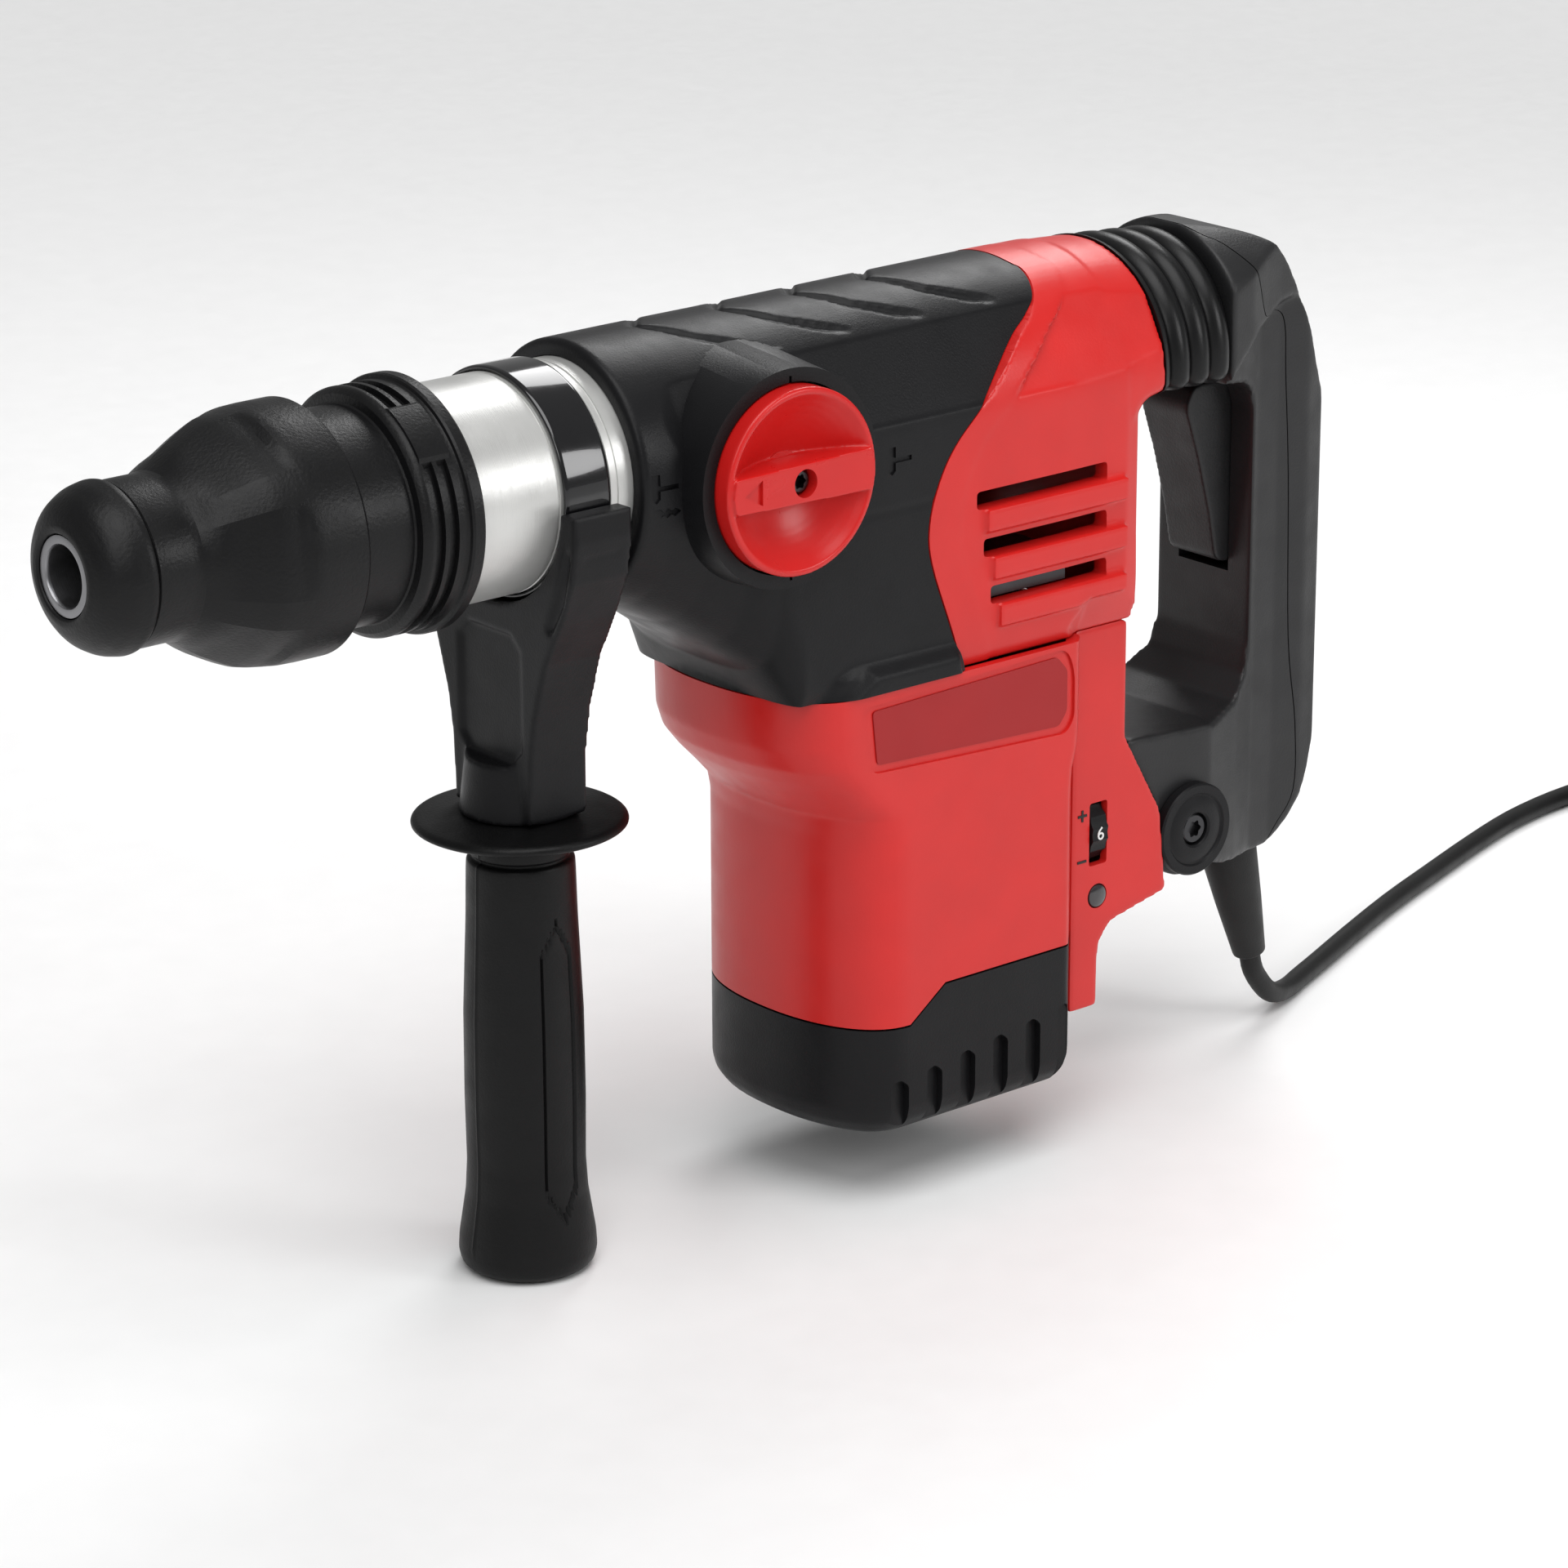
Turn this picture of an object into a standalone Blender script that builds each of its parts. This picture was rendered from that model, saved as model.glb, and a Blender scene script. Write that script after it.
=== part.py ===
"""Corded SDS-max combination and demolition hammer, as an assembly of separate pieces.

Lengths are in millimetres in the tool's own frame and are turned into Blender's metres by MM.
Tool frame: the tool axis is X at z = 0, x = 0 is the front of the tool holder and +X runs to the
rear, y = 0 is the plane of symmetry and the selector knob is on the -Y side, +Z is up.
The tool stands on the end of its side handle, so the world's z = 0 is FLOOR in the tool frame.
"""
import math

import bmesh
import bpy
from mathutils import Matrix, Vector

MM = 0.001

# Driving dimensions
FLOOR = -258.0                 # end of the side handle
FRAME_X = 250.0                # middle of the hammer's length
FRAME_Y = -6.25                # middle of its width
GAP = 0.3                      # between touching pieces

BORE_R = 9.2                   # 18 mm bit shank
HOLDER_R = 12.2
CYLINDER_R = 16.0              # inside of the hammer cylinder
CYLINDER_OUT_R = 22.0
CYLINDER_END_X = 257.0

BARREL_FRONT_X = 121.6
BARREL_R = 34.1
BAND_FRONT_X = 153.5
BAND_REAR_X = 170.5
AUX_X = 161.0                  # axis of the side handle
GUARD_Z = -108.6
GUARD_R = 34.0

HOUSING_FRONT_X = 180.0
NECK_BORE_R = 34.8
HOUSING_REAR_X = 385.0
RIM_X = 396.0                  # rear edge of the upper shell
MOTOR_HALF_WIDTH = 45.0
SEAM_Z = -80.0                 # between gear cover and motor housing
CAP_SEAM_Z = -195.0
CAP_STEP_Z = -184.0
CAP_BOTTOM_Z = -234.0
MOTOR_REAR_X = 360.0
WALL = 3.0

KNOB_X = 229.0
KNOB_Z = -2.0
KNOB_R = 29.5
KNOB_FACE_Y = -57.5
BOSS_FACE_Y = -50.0

MOTOR_X = 306.0
PINION_TEETH = 6
CRANK_TEETH = 24
BEVEL_SHAFT_TEETH = 30
MODULE = 2.0
CRANK_X = MOTOR_X + MODULE * (PINION_TEETH + CRANK_TEETH) / 2
BEVEL_SHAFT_X = MOTOR_X - MODULE * (PINION_TEETH + BEVEL_SHAFT_TEETH) / 2
BEVEL_PINION_TEETH = 8
BEVEL_RING_TEETH = 20
BEVEL_MODULE = 2.86
GEAR_Z = -75.0
GEAR_FACE = 10.0
CRANK_THROW = 12.0
ROD_LENGTH = 62.0

PIVOT_X = 418.0
PIVOT_Z = -161.0
PIVOT_DISC_R = 16.0
ARM_HALF_WIDTH = 33.0
GRIP_HALF_WIDTH = 19.5
TRIGGER_PIVOT_X = 456.0
TRIGGER_PIVOT_Z = -76.0

DIAL_X = 372.5
DIAL_Z = -152.0
DIAL_R = 12.0
DIAL_Y = -26.5
LENS_Z = -174.0

RELIEF_TOP = (467.0, 0.0, -178.5)
RELIEF_LEAN = math.radians(16)
RELIEF_LENGTH = 54.0
CORD_R = 3.75
CORD_Z = FLOOR + CORD_R + 0.25
COIL_X = 802.0
COIL_Y = 36.0
COIL_INNER_R = 26.5
COIL_OUTER_R = 57.5
COIL_HEIGHT = 30.5

# Colours (linear) with roughness and metallic
RED = (0.60, 0.022, 0.018, 0.42, 0.0)
DARK_RED = (0.36, 0.012, 0.012, 0.5, 0.0)
BLACK = (0.022, 0.022, 0.024, 0.55, 0.0)
SOFT_BLACK = (0.016, 0.016, 0.017, 0.75, 0.0)
RUBBER = (0.018, 0.018, 0.018, 0.85, 0.0)
GLOSS_BLACK = (0.008, 0.008, 0.009, 0.12, 0.6)
SATIN = (0.72, 0.72, 0.71, 0.35, 0.9)
STEEL = (0.45, 0.45, 0.46, 0.3, 1.0)
DARK_STEEL = (0.16, 0.16, 0.17, 0.35, 1.0)
COPPER = (0.62, 0.25, 0.11, 0.35, 1.0)
CARBON = (0.03, 0.03, 0.032, 0.6, 0.2)
BOARD = (0.03, 0.16, 0.07, 0.5, 0.0)
LENS = (0.05, 0.05, 0.055, 0.15, 0.0)


# ---------------------------------------------------------------- scene and helpers

def clear_scene():
    for obj in list(bpy.data.objects):
        bpy.data.objects.remove(obj, do_unlink=True)
    for group in list(bpy.data.collections):
        bpy.data.collections.remove(group)


def new_collection(name):
    group = bpy.data.collections.new(name)
    bpy.context.scene.collection.children.link(group)
    return group


def material(name, finish):
    mat = bpy.data.materials.new(name)
    mat.use_nodes = True
    shader = mat.node_tree.nodes["Principled BSDF"]
    shader.inputs["Base Color"].default_value = (*finish[:3], 1.0)
    shader.inputs["Roughness"].default_value = finish[3]
    shader.inputs["Metallic"].default_value = finish[4]
    return mat


clear_scene()
PARTS = new_collection("demolition_hammer")
CUTTERS = new_collection("cutters")
TOOL_FRAME = bpy.data.objects.new("tool_frame", None)
PARTS.objects.link(TOOL_FRAME)
TOOL_FRAME.location = Vector((-FRAME_X, -FRAME_Y, -FLOOR)) * MM


def add_object(name, mesh, finish=None, at=(0, 0, 0)):
    """Place a mesh in the tool frame; without a finish it is a cutter."""
    obj = bpy.data.objects.new(name, mesh)
    obj.parent = TOOL_FRAME
    obj.location = Vector(at) * MM
    if finish is None:
        CUTTERS.objects.link(obj)
        obj.hide_render = True
        obj.display_type = "WIRE"
    else:
        PARTS.objects.link(obj)
        mesh.materials.append(material(name, finish))
    return obj


def mesh_from(name, bm, smooth_angle=None):
    bmesh.ops.scale(bm, vec=(MM, MM, MM), verts=bm.verts)
    bmesh.ops.recalc_face_normals(bm, faces=bm.faces)
    mesh = bpy.data.meshes.new(name)
    bm.to_mesh(mesh)
    bm.free()
    if smooth_angle is not None:
        mesh.shade_smooth()
        mesh.set_sharp_from_angle(angle=math.radians(smooth_angle))
    return mesh


def axis_matrix(axis):
    """Turn local Z onto the named axis of the tool frame."""
    if axis == "X":
        return Matrix.Rotation(math.radians(90), 4, "Y")
    if axis == "Y":
        return Matrix.Rotation(math.radians(-90), 4, "X")
    return Matrix.Identity(4)


def box(name, low, high, finish=None):
    """A block between two corners."""
    low, high = Vector(low), Vector(high)
    bm = bmesh.new()
    bmesh.ops.create_cube(bm, size=1.0, matrix=Matrix.Diagonal((*(high - low), 1.0)))
    return add_object(name, mesh_from(name, bm), finish, (low + high) / 2)


def boxes(name, corners):
    """Several separate blocks in one cutter."""
    bm = bmesh.new()
    for low, high in corners:
        low, high = Vector(low), Vector(high)
        place = Matrix.Translation((low + high) / 2) @ Matrix.Diagonal((*(high - low), 1.0))
        bmesh.ops.create_cube(bm, size=1.0, matrix=place)
    return add_object(name, mesh_from(name, bm))


def cylinder(name, axis, at, radius, start, end, finish=None, segments=24, end_radius=None):
    """A round bar or a cone along an axis through at, from start to end along it."""
    bm = bmesh.new()
    bmesh.ops.create_cone(bm, cap_ends=True, segments=segments, radius1=radius,
                          radius2=radius if end_radius is None else end_radius, depth=end - start)
    bmesh.ops.translate(bm, vec=(0, 0, (start + end) / 2), verts=bm.verts)
    bmesh.ops.transform(bm, matrix=axis_matrix(axis), verts=bm.verts)
    return add_object(name, mesh_from(name, bm, 40), finish, at)


def turned(name, axis, at, profile, finish=None, segments=24):
    """Turn an outline of (along, radius) points round an axis through at."""
    area = sum(a[0] * b[1] - b[0] * a[1] for a, b in zip(profile, profile[1:] + profile[:1]))
    ordered = profile if area > 0 else profile[::-1]
    mesh = bpy.data.meshes.new(name)
    points = [(radius * MM, 0.0, along * MM) for along, radius in ordered]
    closed = all(radius > 0 for _, radius in ordered)
    if not closed:
        first = next(i for i, p in enumerate(points) if p[0] == 0 and points[i - 1][0] == 0)
        points = points[first:] + points[:first]
    edges = [(i, i + 1) for i in range(len(points) - 1)]
    if closed:
        edges.append((len(points) - 1, 0))
    mesh.from_pydata(points, edges, [])
    obj = add_object(name, mesh, finish, at)
    obj.rotation_euler = axis_matrix(axis).to_euler()
    screw = obj.modifiers.new("turn", "SCREW")
    screw.steps = segments
    screw.render_steps = segments
    screw.use_merge_vertices = True
    screw.merge_threshold = 0.00001
    screw.use_smooth_shade = False
    return obj


def ring(name, axis, at, inner, outer, start, end, finish=None, segments=24):
    profile = [(start, inner), (end, inner), (end, outer), (start, outer)]
    return turned(name, axis, at, profile, finish, segments)


def prism(name, outline, normal, start, end, finish=None):
    """A flat outline in the plane across an axis, pushed along it from start to end.

    The outline's points are (x, z) for normal Y, (y, z) for normal X and (x, y) for normal Z.
    """
    place = {"X": lambda u, v, w: (w, u, v),
             "Y": lambda u, v, w: (u, w, v),
             "Z": lambda u, v, w: (u, v, w)}
    bm = bmesh.new()
    face = bm.faces.new([bm.verts.new(place[normal](u, v, start)) for u, v in outline])
    pushed = bmesh.ops.extrude_face_region(bm, geom=[face])
    moved = [v for v in pushed["geom"] if isinstance(v, bmesh.types.BMVert)]
    bmesh.ops.translate(bm, vec=place[normal](0, 0, end - start), verts=moved)
    return add_object(name, mesh_from(name, bm), finish)


def arc(cx, cy, radius, start, end, steps):
    """Points of an arc, with angles in degrees."""
    angles = [math.radians(start + (end - start) * i / steps) for i in range(steps + 1)]
    return [(cx + radius * math.cos(a), cy + radius * math.sin(a)) for a in angles]


def skin_loops(bm, loops):
    rings = [[bm.verts.new(p) for p in loop] for loop in loops]
    count = len(rings[0])
    for a, b in zip(rings, rings[1:]):
        for i in range(count):
            bm.faces.new((a[i], a[(i + 1) % count], b[(i + 1) % count], b[i]))
    return rings


def loft(name, loops, finish=None):
    """A solid through closed loops of equal count, capped at both ends."""
    bm = bmesh.new()
    rings = skin_loops(bm, loops)
    bm.faces.new(rings[0])
    bm.faces.new(rings[-1])
    return add_object(name, mesh_from(name, bm, 35), finish)


def shell(name, outer, inner, finish, open_end=False):
    """A hollow casing, open at the first loops and closed (or open) at the last."""
    bm = bmesh.new()
    outside = skin_loops(bm, outer)
    inside = skin_loops(bm, inner)
    count = len(outside[0])
    ends = [(outside[0], inside[0])]
    if open_end:
        ends.append((outside[-1], inside[-1]))
    else:
        bm.faces.new(outside[-1])
        bm.faces.new(inside[-1])
    for a, b in ends:
        for i in range(count):
            bm.faces.new((a[i], a[(i + 1) % count], b[(i + 1) % count], b[i]))
    return add_object(name, mesh_from(name, bm, 35), finish)


def on_joint(name, point, *pieces):
    """Hang pieces on an empty that stands on their joint's axis."""
    empty = bpy.data.objects.new(name, None)
    PARTS.objects.link(empty)
    empty.parent = TOOL_FRAME
    empty.location = Vector(point) * MM
    for piece in pieces:
        piece.parent = empty
        piece.location -= empty.location


def boolean(obj, other, operation="DIFFERENCE"):
    step = obj.modifiers.new(operation.lower(), "BOOLEAN")
    step.operation = operation
    step.solver = "EXACT"
    step.object = other


def gear(name, teeth, module, at, start, end, bore, finish, phase=0.0, shrink=1.0, bore_top=None):
    """A toothed wheel about Z; shrink below 1 makes the far end smaller, as on a bevel gear."""
    pitch_r = module * teeth / 2
    tip_r = pitch_r + 0.62 * module
    root_r = pitch_r - 0.95 * module
    pitch_angle = 2 * math.pi / teeth
    bm = bmesh.new()

    def level(z, scale, bore_r):
        outline = []
        centre = []
        for i in range(teeth):
            middle = phase + i * pitch_angle
            for offset, radius in ((-0.30, root_r), (-0.10, tip_r), (0.10, tip_r), (0.30, root_r)):
                a = middle + offset * pitch_angle
                x, y = scale * radius * math.cos(a), scale * radius * math.sin(a)
                outline.append(bm.verts.new((x, y, z)))
            centre.append(bm.verts.new((bore_r * math.cos(middle), bore_r * math.sin(middle), z)))
        return outline, centre

    low = level(start, 1.0, bore)
    high = level(end, shrink, bore if bore_top is None else bore_top)
    count = 4 * teeth
    for i in range(count):
        j = (i + 1) % count
        bm.faces.new((low[0][i], low[0][j], high[0][j], high[0][i]))
    for i in range(teeth):
        j = (i + 1) % teeth
        bm.faces.new((low[1][i], high[1][i], high[1][j], low[1][j]))
        for outline, centre in (low, high):
            tooth = [outline[(4 * i + k) % count] for k in (1, 2, 3, 4, 5)]
            bm.faces.new((centre[i], *tooth, centre[j]))
    return add_object(name, mesh_from(name, bm), finish, at)


def bevel_gear(name, axis, at, teeth, module, cone_angle, bore, back, face_scale, phase, finish):
    """A bevel gear whose cones meet at the point at; its large end lies before that point."""
    pitch_r = module * teeth / 2
    pitch_z = -pitch_r / math.tan(cone_angle)
    tip = 0.5 * module
    root = 0.9 * module
    pitch_angle = 2 * math.pi / teeth
    pattern = ((-0.30, -root), (-0.09, tip), (0.09, tip), (0.30, -root))
    root_r = pitch_r - root * math.cos(cone_angle)
    bm = bmesh.new()

    def toothed(scale):
        loop = []
        for i in range(teeth):
            for offset, height in pattern:
                a = phase + (i + offset) * pitch_angle
                radius = scale * (pitch_r + height * math.cos(cone_angle))
                z = scale * (pitch_z + height * math.sin(cone_angle))
                loop.append((radius * math.cos(a), radius * math.sin(a), z))
        return loop

    def plain(radius, z):
        angles = [phase + (i + offset) * pitch_angle for i in range(teeth) for offset, _ in pattern]
        return [(radius * math.cos(a), radius * math.sin(a), z) for a in angles]

    small_z = face_scale * (pitch_z - root * math.sin(cone_angle))
    back_z = pitch_z - back
    loops = [plain(bore, small_z), toothed(face_scale), toothed(1.0), plain(root_r, back_z),
             plain(bore, back_z)]
    rings = skin_loops(bm, loops)
    for i in range(4 * teeth):
        j = (i + 1) % (4 * teeth)
        bm.faces.new((rings[-1][i], rings[-1][j], rings[0][j], rings[0][i]))
    mesh = mesh_from(name, bm)
    obj = add_object(name, mesh, finish, at)
    obj.rotation_euler = axis_matrix(axis).to_euler()
    return obj


def tube(name, points, radius, finish, sides=2):
    """A round bar along a list of points."""
    curve = bpy.data.curves.new(name, "CURVE")
    curve.dimensions = "3D"
    curve.bevel_depth = radius * MM
    curve.bevel_resolution = sides
    curve.use_fill_caps = True
    spline = curve.splines.new("POLY")
    spline.points.add(len(points) - 1)
    for target, point in zip(spline.points, points):
        target.co = (*(Vector(point) * MM), 1.0)
    return add_object(name, curve, finish)


def helix(axis_x, radius, start, end, turns, steps):
    """Points of a spring about an axis along X at the given height."""
    points = []
    for i in range(turns * steps + 1):
        a = 2 * math.pi * i / steps
        x = start + (end - start) * i / (turns * steps)
        points.append((x, radius * math.cos(a), axis_x + radius * math.sin(a)))
    return points


def smooth_route(route, steps):
    """Catmull-Rom points through a route, with steps points for each of its spans."""
    padded = [route[0]] + list(route) + [route[-1]]
    points = []
    for a, b, c, d in zip(padded, padded[1:], padded[2:], padded[3:]):
        a, b, c, d = (Vector(p) for p in (a, b, c, d))
        for i in range(steps):
            t = i / steps
            points.append(0.5 * (2 * b + (c - a) * t + (2 * a - 5 * b + 4 * c - d) * t ** 2
                                 + (3 * b - a - 3 * c + d) * t ** 3))
    points.append(Vector(route[-1]))
    return points


# ---------------------------------------------------------------- chuck and hammer train

def make_chuck():
    turned("spindle_tube", "X", (0, 0, 0),
           [(-0.5, BORE_R), (-0.5, HOLDER_R), (30, HOLDER_R), (31, 17), (84, 17), (85, CYLINDER_OUT_R),
            (CYLINDER_END_X, CYLINDER_OUT_R), (CYLINDER_END_X, CYLINDER_R), (96, CYLINDER_R), (93, BORE_R)],
           STEEL)
    turned("nose_cap", "X", (0, 0, 0),
           [(-0.9, 12.6), (-1.5, 13.4), (-1.4, 15.5), (0.6, 19.2), (4.5, 23.2), (9.5, 25.3), (14.3, 25.9),
            (15.6, 25.0), (15.6, 17.2), (23.4, 17.2), (23.4, 12.6)], RUBBER)
    turned("locking_sleeve", "X", (0, 0, 0),
           [(16.2, 17.6), (16.2, 24.5), (17, 24.9), (31, 24.9), (33, 26.0), (38, 29.6), (44, 32.9),
            (50, 35.8), (58, 38.0), (66, 38.9), (78, 38.9), (80, 38.0), (80, 34.8), (60, 34.8), (58, 17.6)],
           SOFT_BLACK)
    tube("sleeve_spring", helix(0.0, 25.0, 60.6, 84.6, 3, 7), 1.0, STEEL, sides=1)
    turned("ribbed_collar", "X", (0, 0, 0),
           [(76, 30.3), (76, 33.3), (100, 33.3), (100.6, 36.4), (102, 37.4), (115, 38.2),
            (116, 39.6), (120.6, 39.6), (121.2, 39.0), (121.2, 22.4), (86, 22.4), (86, 30.3)], BLACK)


def make_hammer_train():
    turned("beat_piece", "X", (0, 0, 0),
           [(76, 0), (76, 8.7), (96, 8.7), (97, 15.4), (107, 15.4), (109, 11), (118, 11), (118, 0)],
           DARK_STEEL, 16)
    turned("striker", "X", (0, 0, 0),
           [(150, 0), (150, 9), (153, 15.4), (186, 15.4), (186, 0)], DARK_STEEL, 16)
    piston = turned("piston", "X", (0, 0, 0),
                    [(208, 0), (208, 15.4), (272, 15.4), (272, 12), (226, 12), (226, 0)], STEEL, 16)
    wrist_x = CRANK_X - CRANK_THROW - ROD_LENGTH
    boolean(piston, cylinder("piston_pin_bore", "Z", (wrist_x, 0, 0), 4.3, -20, 20, segments=16))
    big_x = CRANK_X - CRANK_THROW
    outline = arc(wrist_x, 0, 8.0, 110, 250, 8) + arc(big_x, 0, 10.5, -115, 115, 12)
    rod = prism("connecting_rod", outline, "Z", -4, 4, SATIN)
    boolean(rod, cylinder("wrist_pin", "Z", (wrist_x, 0, 0), 3.8, -14.5, 14.5, segments=16), "UNION")
    boolean(rod, cylinder("rod_big_bore", "Z", (big_x, 0, 0), 5.0, -10, 10, segments=16))
    on_joint("wrist_axis", (wrist_x, 0, 0), rod)


# ---------------------------------------------------------------- gears and motor

def make_gears():
    shaft = turned("crank_shaft", "Z", (CRANK_X, 0, 0),
                   [(-98, 0), (-98, 6), (-16, 6), (-16, 18.5), (-10, 18.5), (-10, 0)], STEEL, 16)
    pin = cylinder("crank_pin", "Z", (CRANK_X - CRANK_THROW, 0, 0), 4.5, -12, -4.6, segments=16)
    boolean(shaft, pin, "UNION")
    gear("crank_gear", CRANK_TEETH, MODULE, (CRANK_X, 0, 0), GEAR_Z, GEAR_Z + GEAR_FACE, 6.3, DARK_STEEL,
         phase=math.pi / CRANK_TEETH)
    gear("intermediate_gear", BEVEL_SHAFT_TEETH, MODULE, (BEVEL_SHAFT_X, 0, 0), GEAR_Z,
         GEAR_Z + GEAR_FACE, 5.3, DARK_STEEL, phase=math.pi / BEVEL_SHAFT_TEETH)
    pinion_cone = math.atan(BEVEL_PINION_TEETH / BEVEL_RING_TEETH)
    pinion = bevel_gear("bevel_pinion_shaft", "Z", (BEVEL_SHAFT_X, 0, 0), BEVEL_PINION_TEETH,
                        BEVEL_MODULE, pinion_cone, 4.0, 12.0, 0.84, 0.0, DARK_STEEL)
    bar = cylinder("bevel_shaft_bar", "Z", (BEVEL_SHAFT_X, 0, 0), 5.0, -98, -24.8, segments=16)
    boolean(pinion, bar, "UNION")
    bevel_gear("bevel_ring", "X", (BEVEL_SHAFT_X, 0, 0), BEVEL_RING_TEETH, BEVEL_MODULE,
               math.pi / 2 - pinion_cone, 22.4, 9.0, 0.84, math.pi / BEVEL_RING_TEETH, DARK_STEEL)
    for name, bottom, top, front in (("bearing_plate", -104, -94, 264), ("gear_frame", -60, -50, 250)):
        outline = [(front, -28), (front + 12, -39), (354, -39), (354, 39), (front + 12, 39), (front, 28)]
        plate = prism(name, outline, "Z", bottom, top, SATIN)
        bores = [(CRANK_X, 6.5), (BEVEL_SHAFT_X, 5.5)]
        if name == "bearing_plate":
            bores.append((MOTOR_X, 13.3))
        for i, (x, radius) in enumerate(bores):
            boolean(plate, cylinder(f"{name}_bore_{i}", "Z", (x, 0, 0), radius, -120, -40, segments=16))


def make_motor():
    at = (MOTOR_X, 0, 0)
    shaft = turned("rotor", "Z", at,
                   [(-229, 0), (-229, 4), (-200, 4), (-200, 25), (-140, 25), (-140, 4), (-62, 4), (-62, 0)],
                   DARK_STEEL, 16)
    pinion = gear("motor_pinion", PINION_TEETH, MODULE, at, GEAR_Z - 2, GEAR_Z + GEAR_FACE + 2, 3.0, None)
    boolean(shaft, pinion, "UNION")
    ring("commutator", "Z", at, 4.3, 13.0, -221, -206, COPPER, 16)
    gear("cooling_fan", 12, 5.2, at, -130, -118, 4.3, BLACK)
    ring("motor_bearing_upper", "Z", at, 4.5, 13.0, -103, -94.5, SATIN, 16)
    ring("motor_bearing_lower", "Z", at, 4.5, 11.0, -230, -223, SATIN, 16)
    ring("stator", "Z", at, 26.0, 37.5, -202, -138, DARK_STEEL, 20)
    ring("field_coils", "Z", at, 27.0, 36.0, -137.5, -131.5, COPPER, 16)
    for side, label in ((-1, "left"), (1, "right")):
        lo, hi = sorted((side * 13.6, side * 29.0))
        box(f"carbon_brush_{label}", (MOTOR_X - 3, lo, -217), (MOTOR_X + 3, hi, -212), CARBON)


# ---------------------------------------------------------------- front of the body and side handle

def make_barrel():
    turned("barrel", "X", (0, 0, 0),
           [(BARREL_FRONT_X, 30.5), (BARREL_FRONT_X, BARREL_R), (171.2, BARREL_R), (171.5, 34.3),
            (214, 34.3), (214, 28.6), (138, 28.6), (138, 30.5)], SATIN, 32)
    ring("front_bearing", "X", (0, 0, 0), 22.6, 30.1, 124, 137.6, STEEL, 20)
    ring("rear_bearing", "X", (0, 0, 0), 22.6, 36.3, 238.5, 249, STEEL, 20)


def make_side_handle():
    ring("clamp_band", "X", (0, 0, 0), 34.6, 35.7, BAND_FRONT_X, BAND_REAR_X, GLOSS_BLACK, 32)
    inner = arc(0, 0, 36.1, -3, -177, 20)
    outer = [(-43.5, -2), (-43.5, -12), (-41, -24), (-35, -37), (-27, -52), (-21.5, -72), (-19, -92),
             (19, -92), (21.5, -72), (27, -52), (35, -37), (41, -24), (43.5, -12), (43.5, -2)]
    yoke = prism("aux_yoke", inner + outer, "X", 150.4, 172.4, BLACK)
    neck = cylinder("aux_neck", "Z", (AUX_X, 0, 0), 18.6, GUARD_Z + 3.0, -70, segments=28, end_radius=15.0)
    boolean(yoke, neck, "UNION")
    boolean(yoke, cylinder("yoke_bolt_bore", "Z", (AUX_X, 0, 0), 5.3, -120, -50, segments=16))
    cylinder("aux_bolt", "Z", (AUX_X, 0, 0), 5.0, -190, -50.5, STEEL, 16)
    turned("aux_grip", "Z", (AUX_X, 0, 0),
           [(GUARD_Z + 2.6, 5.5), (GUARD_Z + 2.6, 20), (GUARD_Z + 1.6, GUARD_R - 1.2),
            (GUARD_Z, GUARD_R), (GUARD_Z - 2.2, GUARD_R - 1.6), (GUARD_Z - 5, 17.2),
            (-140, 17.4), (-172, 18.9), (-228, 18.6), (-243, 21.2), (-251, 22.0),
            (-256, 20.4), (FLOOR, 16.5), (FLOOR, 0), (-192, 0), (-192, 5.5)], RUBBER)


# ---------------------------------------------------------------- casings

def body_section(x, top, half_width, bottom, power, count=24):
    """Round-topped section of the upper body; a higher power squares its lower corners."""
    loop = []
    for i in range(count):
        a = 2 * math.pi * i / count
        c, s = math.cos(a), math.sin(a)
        if s >= 0:
            loop.append((x, half_width * c, top * s))
        else:
            flare = 1.0 + 0.055 * min(1.0, -bottom * -s / 75.0) * min(1.0, power / 8.0)
            y = flare * half_width * math.copysign(abs(c) ** (2 / power), c)
            loop.append((x, y, bottom * abs(s) ** (2 / power)))
    return loop


# x, top, half width, bottom, power
BODY_STATIONS = ((180, 39, 39, -39, 2), (182, 40, 40, -40.5, 2), (192, 40, 41, -45, 2.2),
                 (205, 40, 42, -52, 2.6), (220, 40, 42.5, -62, 3.2), (232, 40, 42.7, -71, 4.5),
                 (241, 40, 42.7, -86, 8), (300, 40.6, 42.7, -86, 9), (350, 41, 42.7, -86, 9),
                 (378, 41, 42, -86, 9), (385, 39, 40, -86, 9))
# x, top, half width, bottom of the rim behind the rear wall, which carries the bellows
RIM_STATIONS = ((378, 40.5, 41.6, -30), (384, 40.3, 41.3, -17), (387, 40.1, 41.1, -10),
                (391, 39.9, 41, -7.8), (RIM_X, 39.6, 40.6, -6.8))
SEAM_LINE = ((350, 60), (352.5, 41.5), (354.5, 38), (351, 33), (343.5, 27), (334, 21), (315, 5),
             (303, -6), (296, -17), (292, -30), (293, -43), (302, -68), (306, -80), (306, -95))


def body_solid(name, finish):
    return loft(name, [body_section(*station) for station in BODY_STATIONS], finish)


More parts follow.
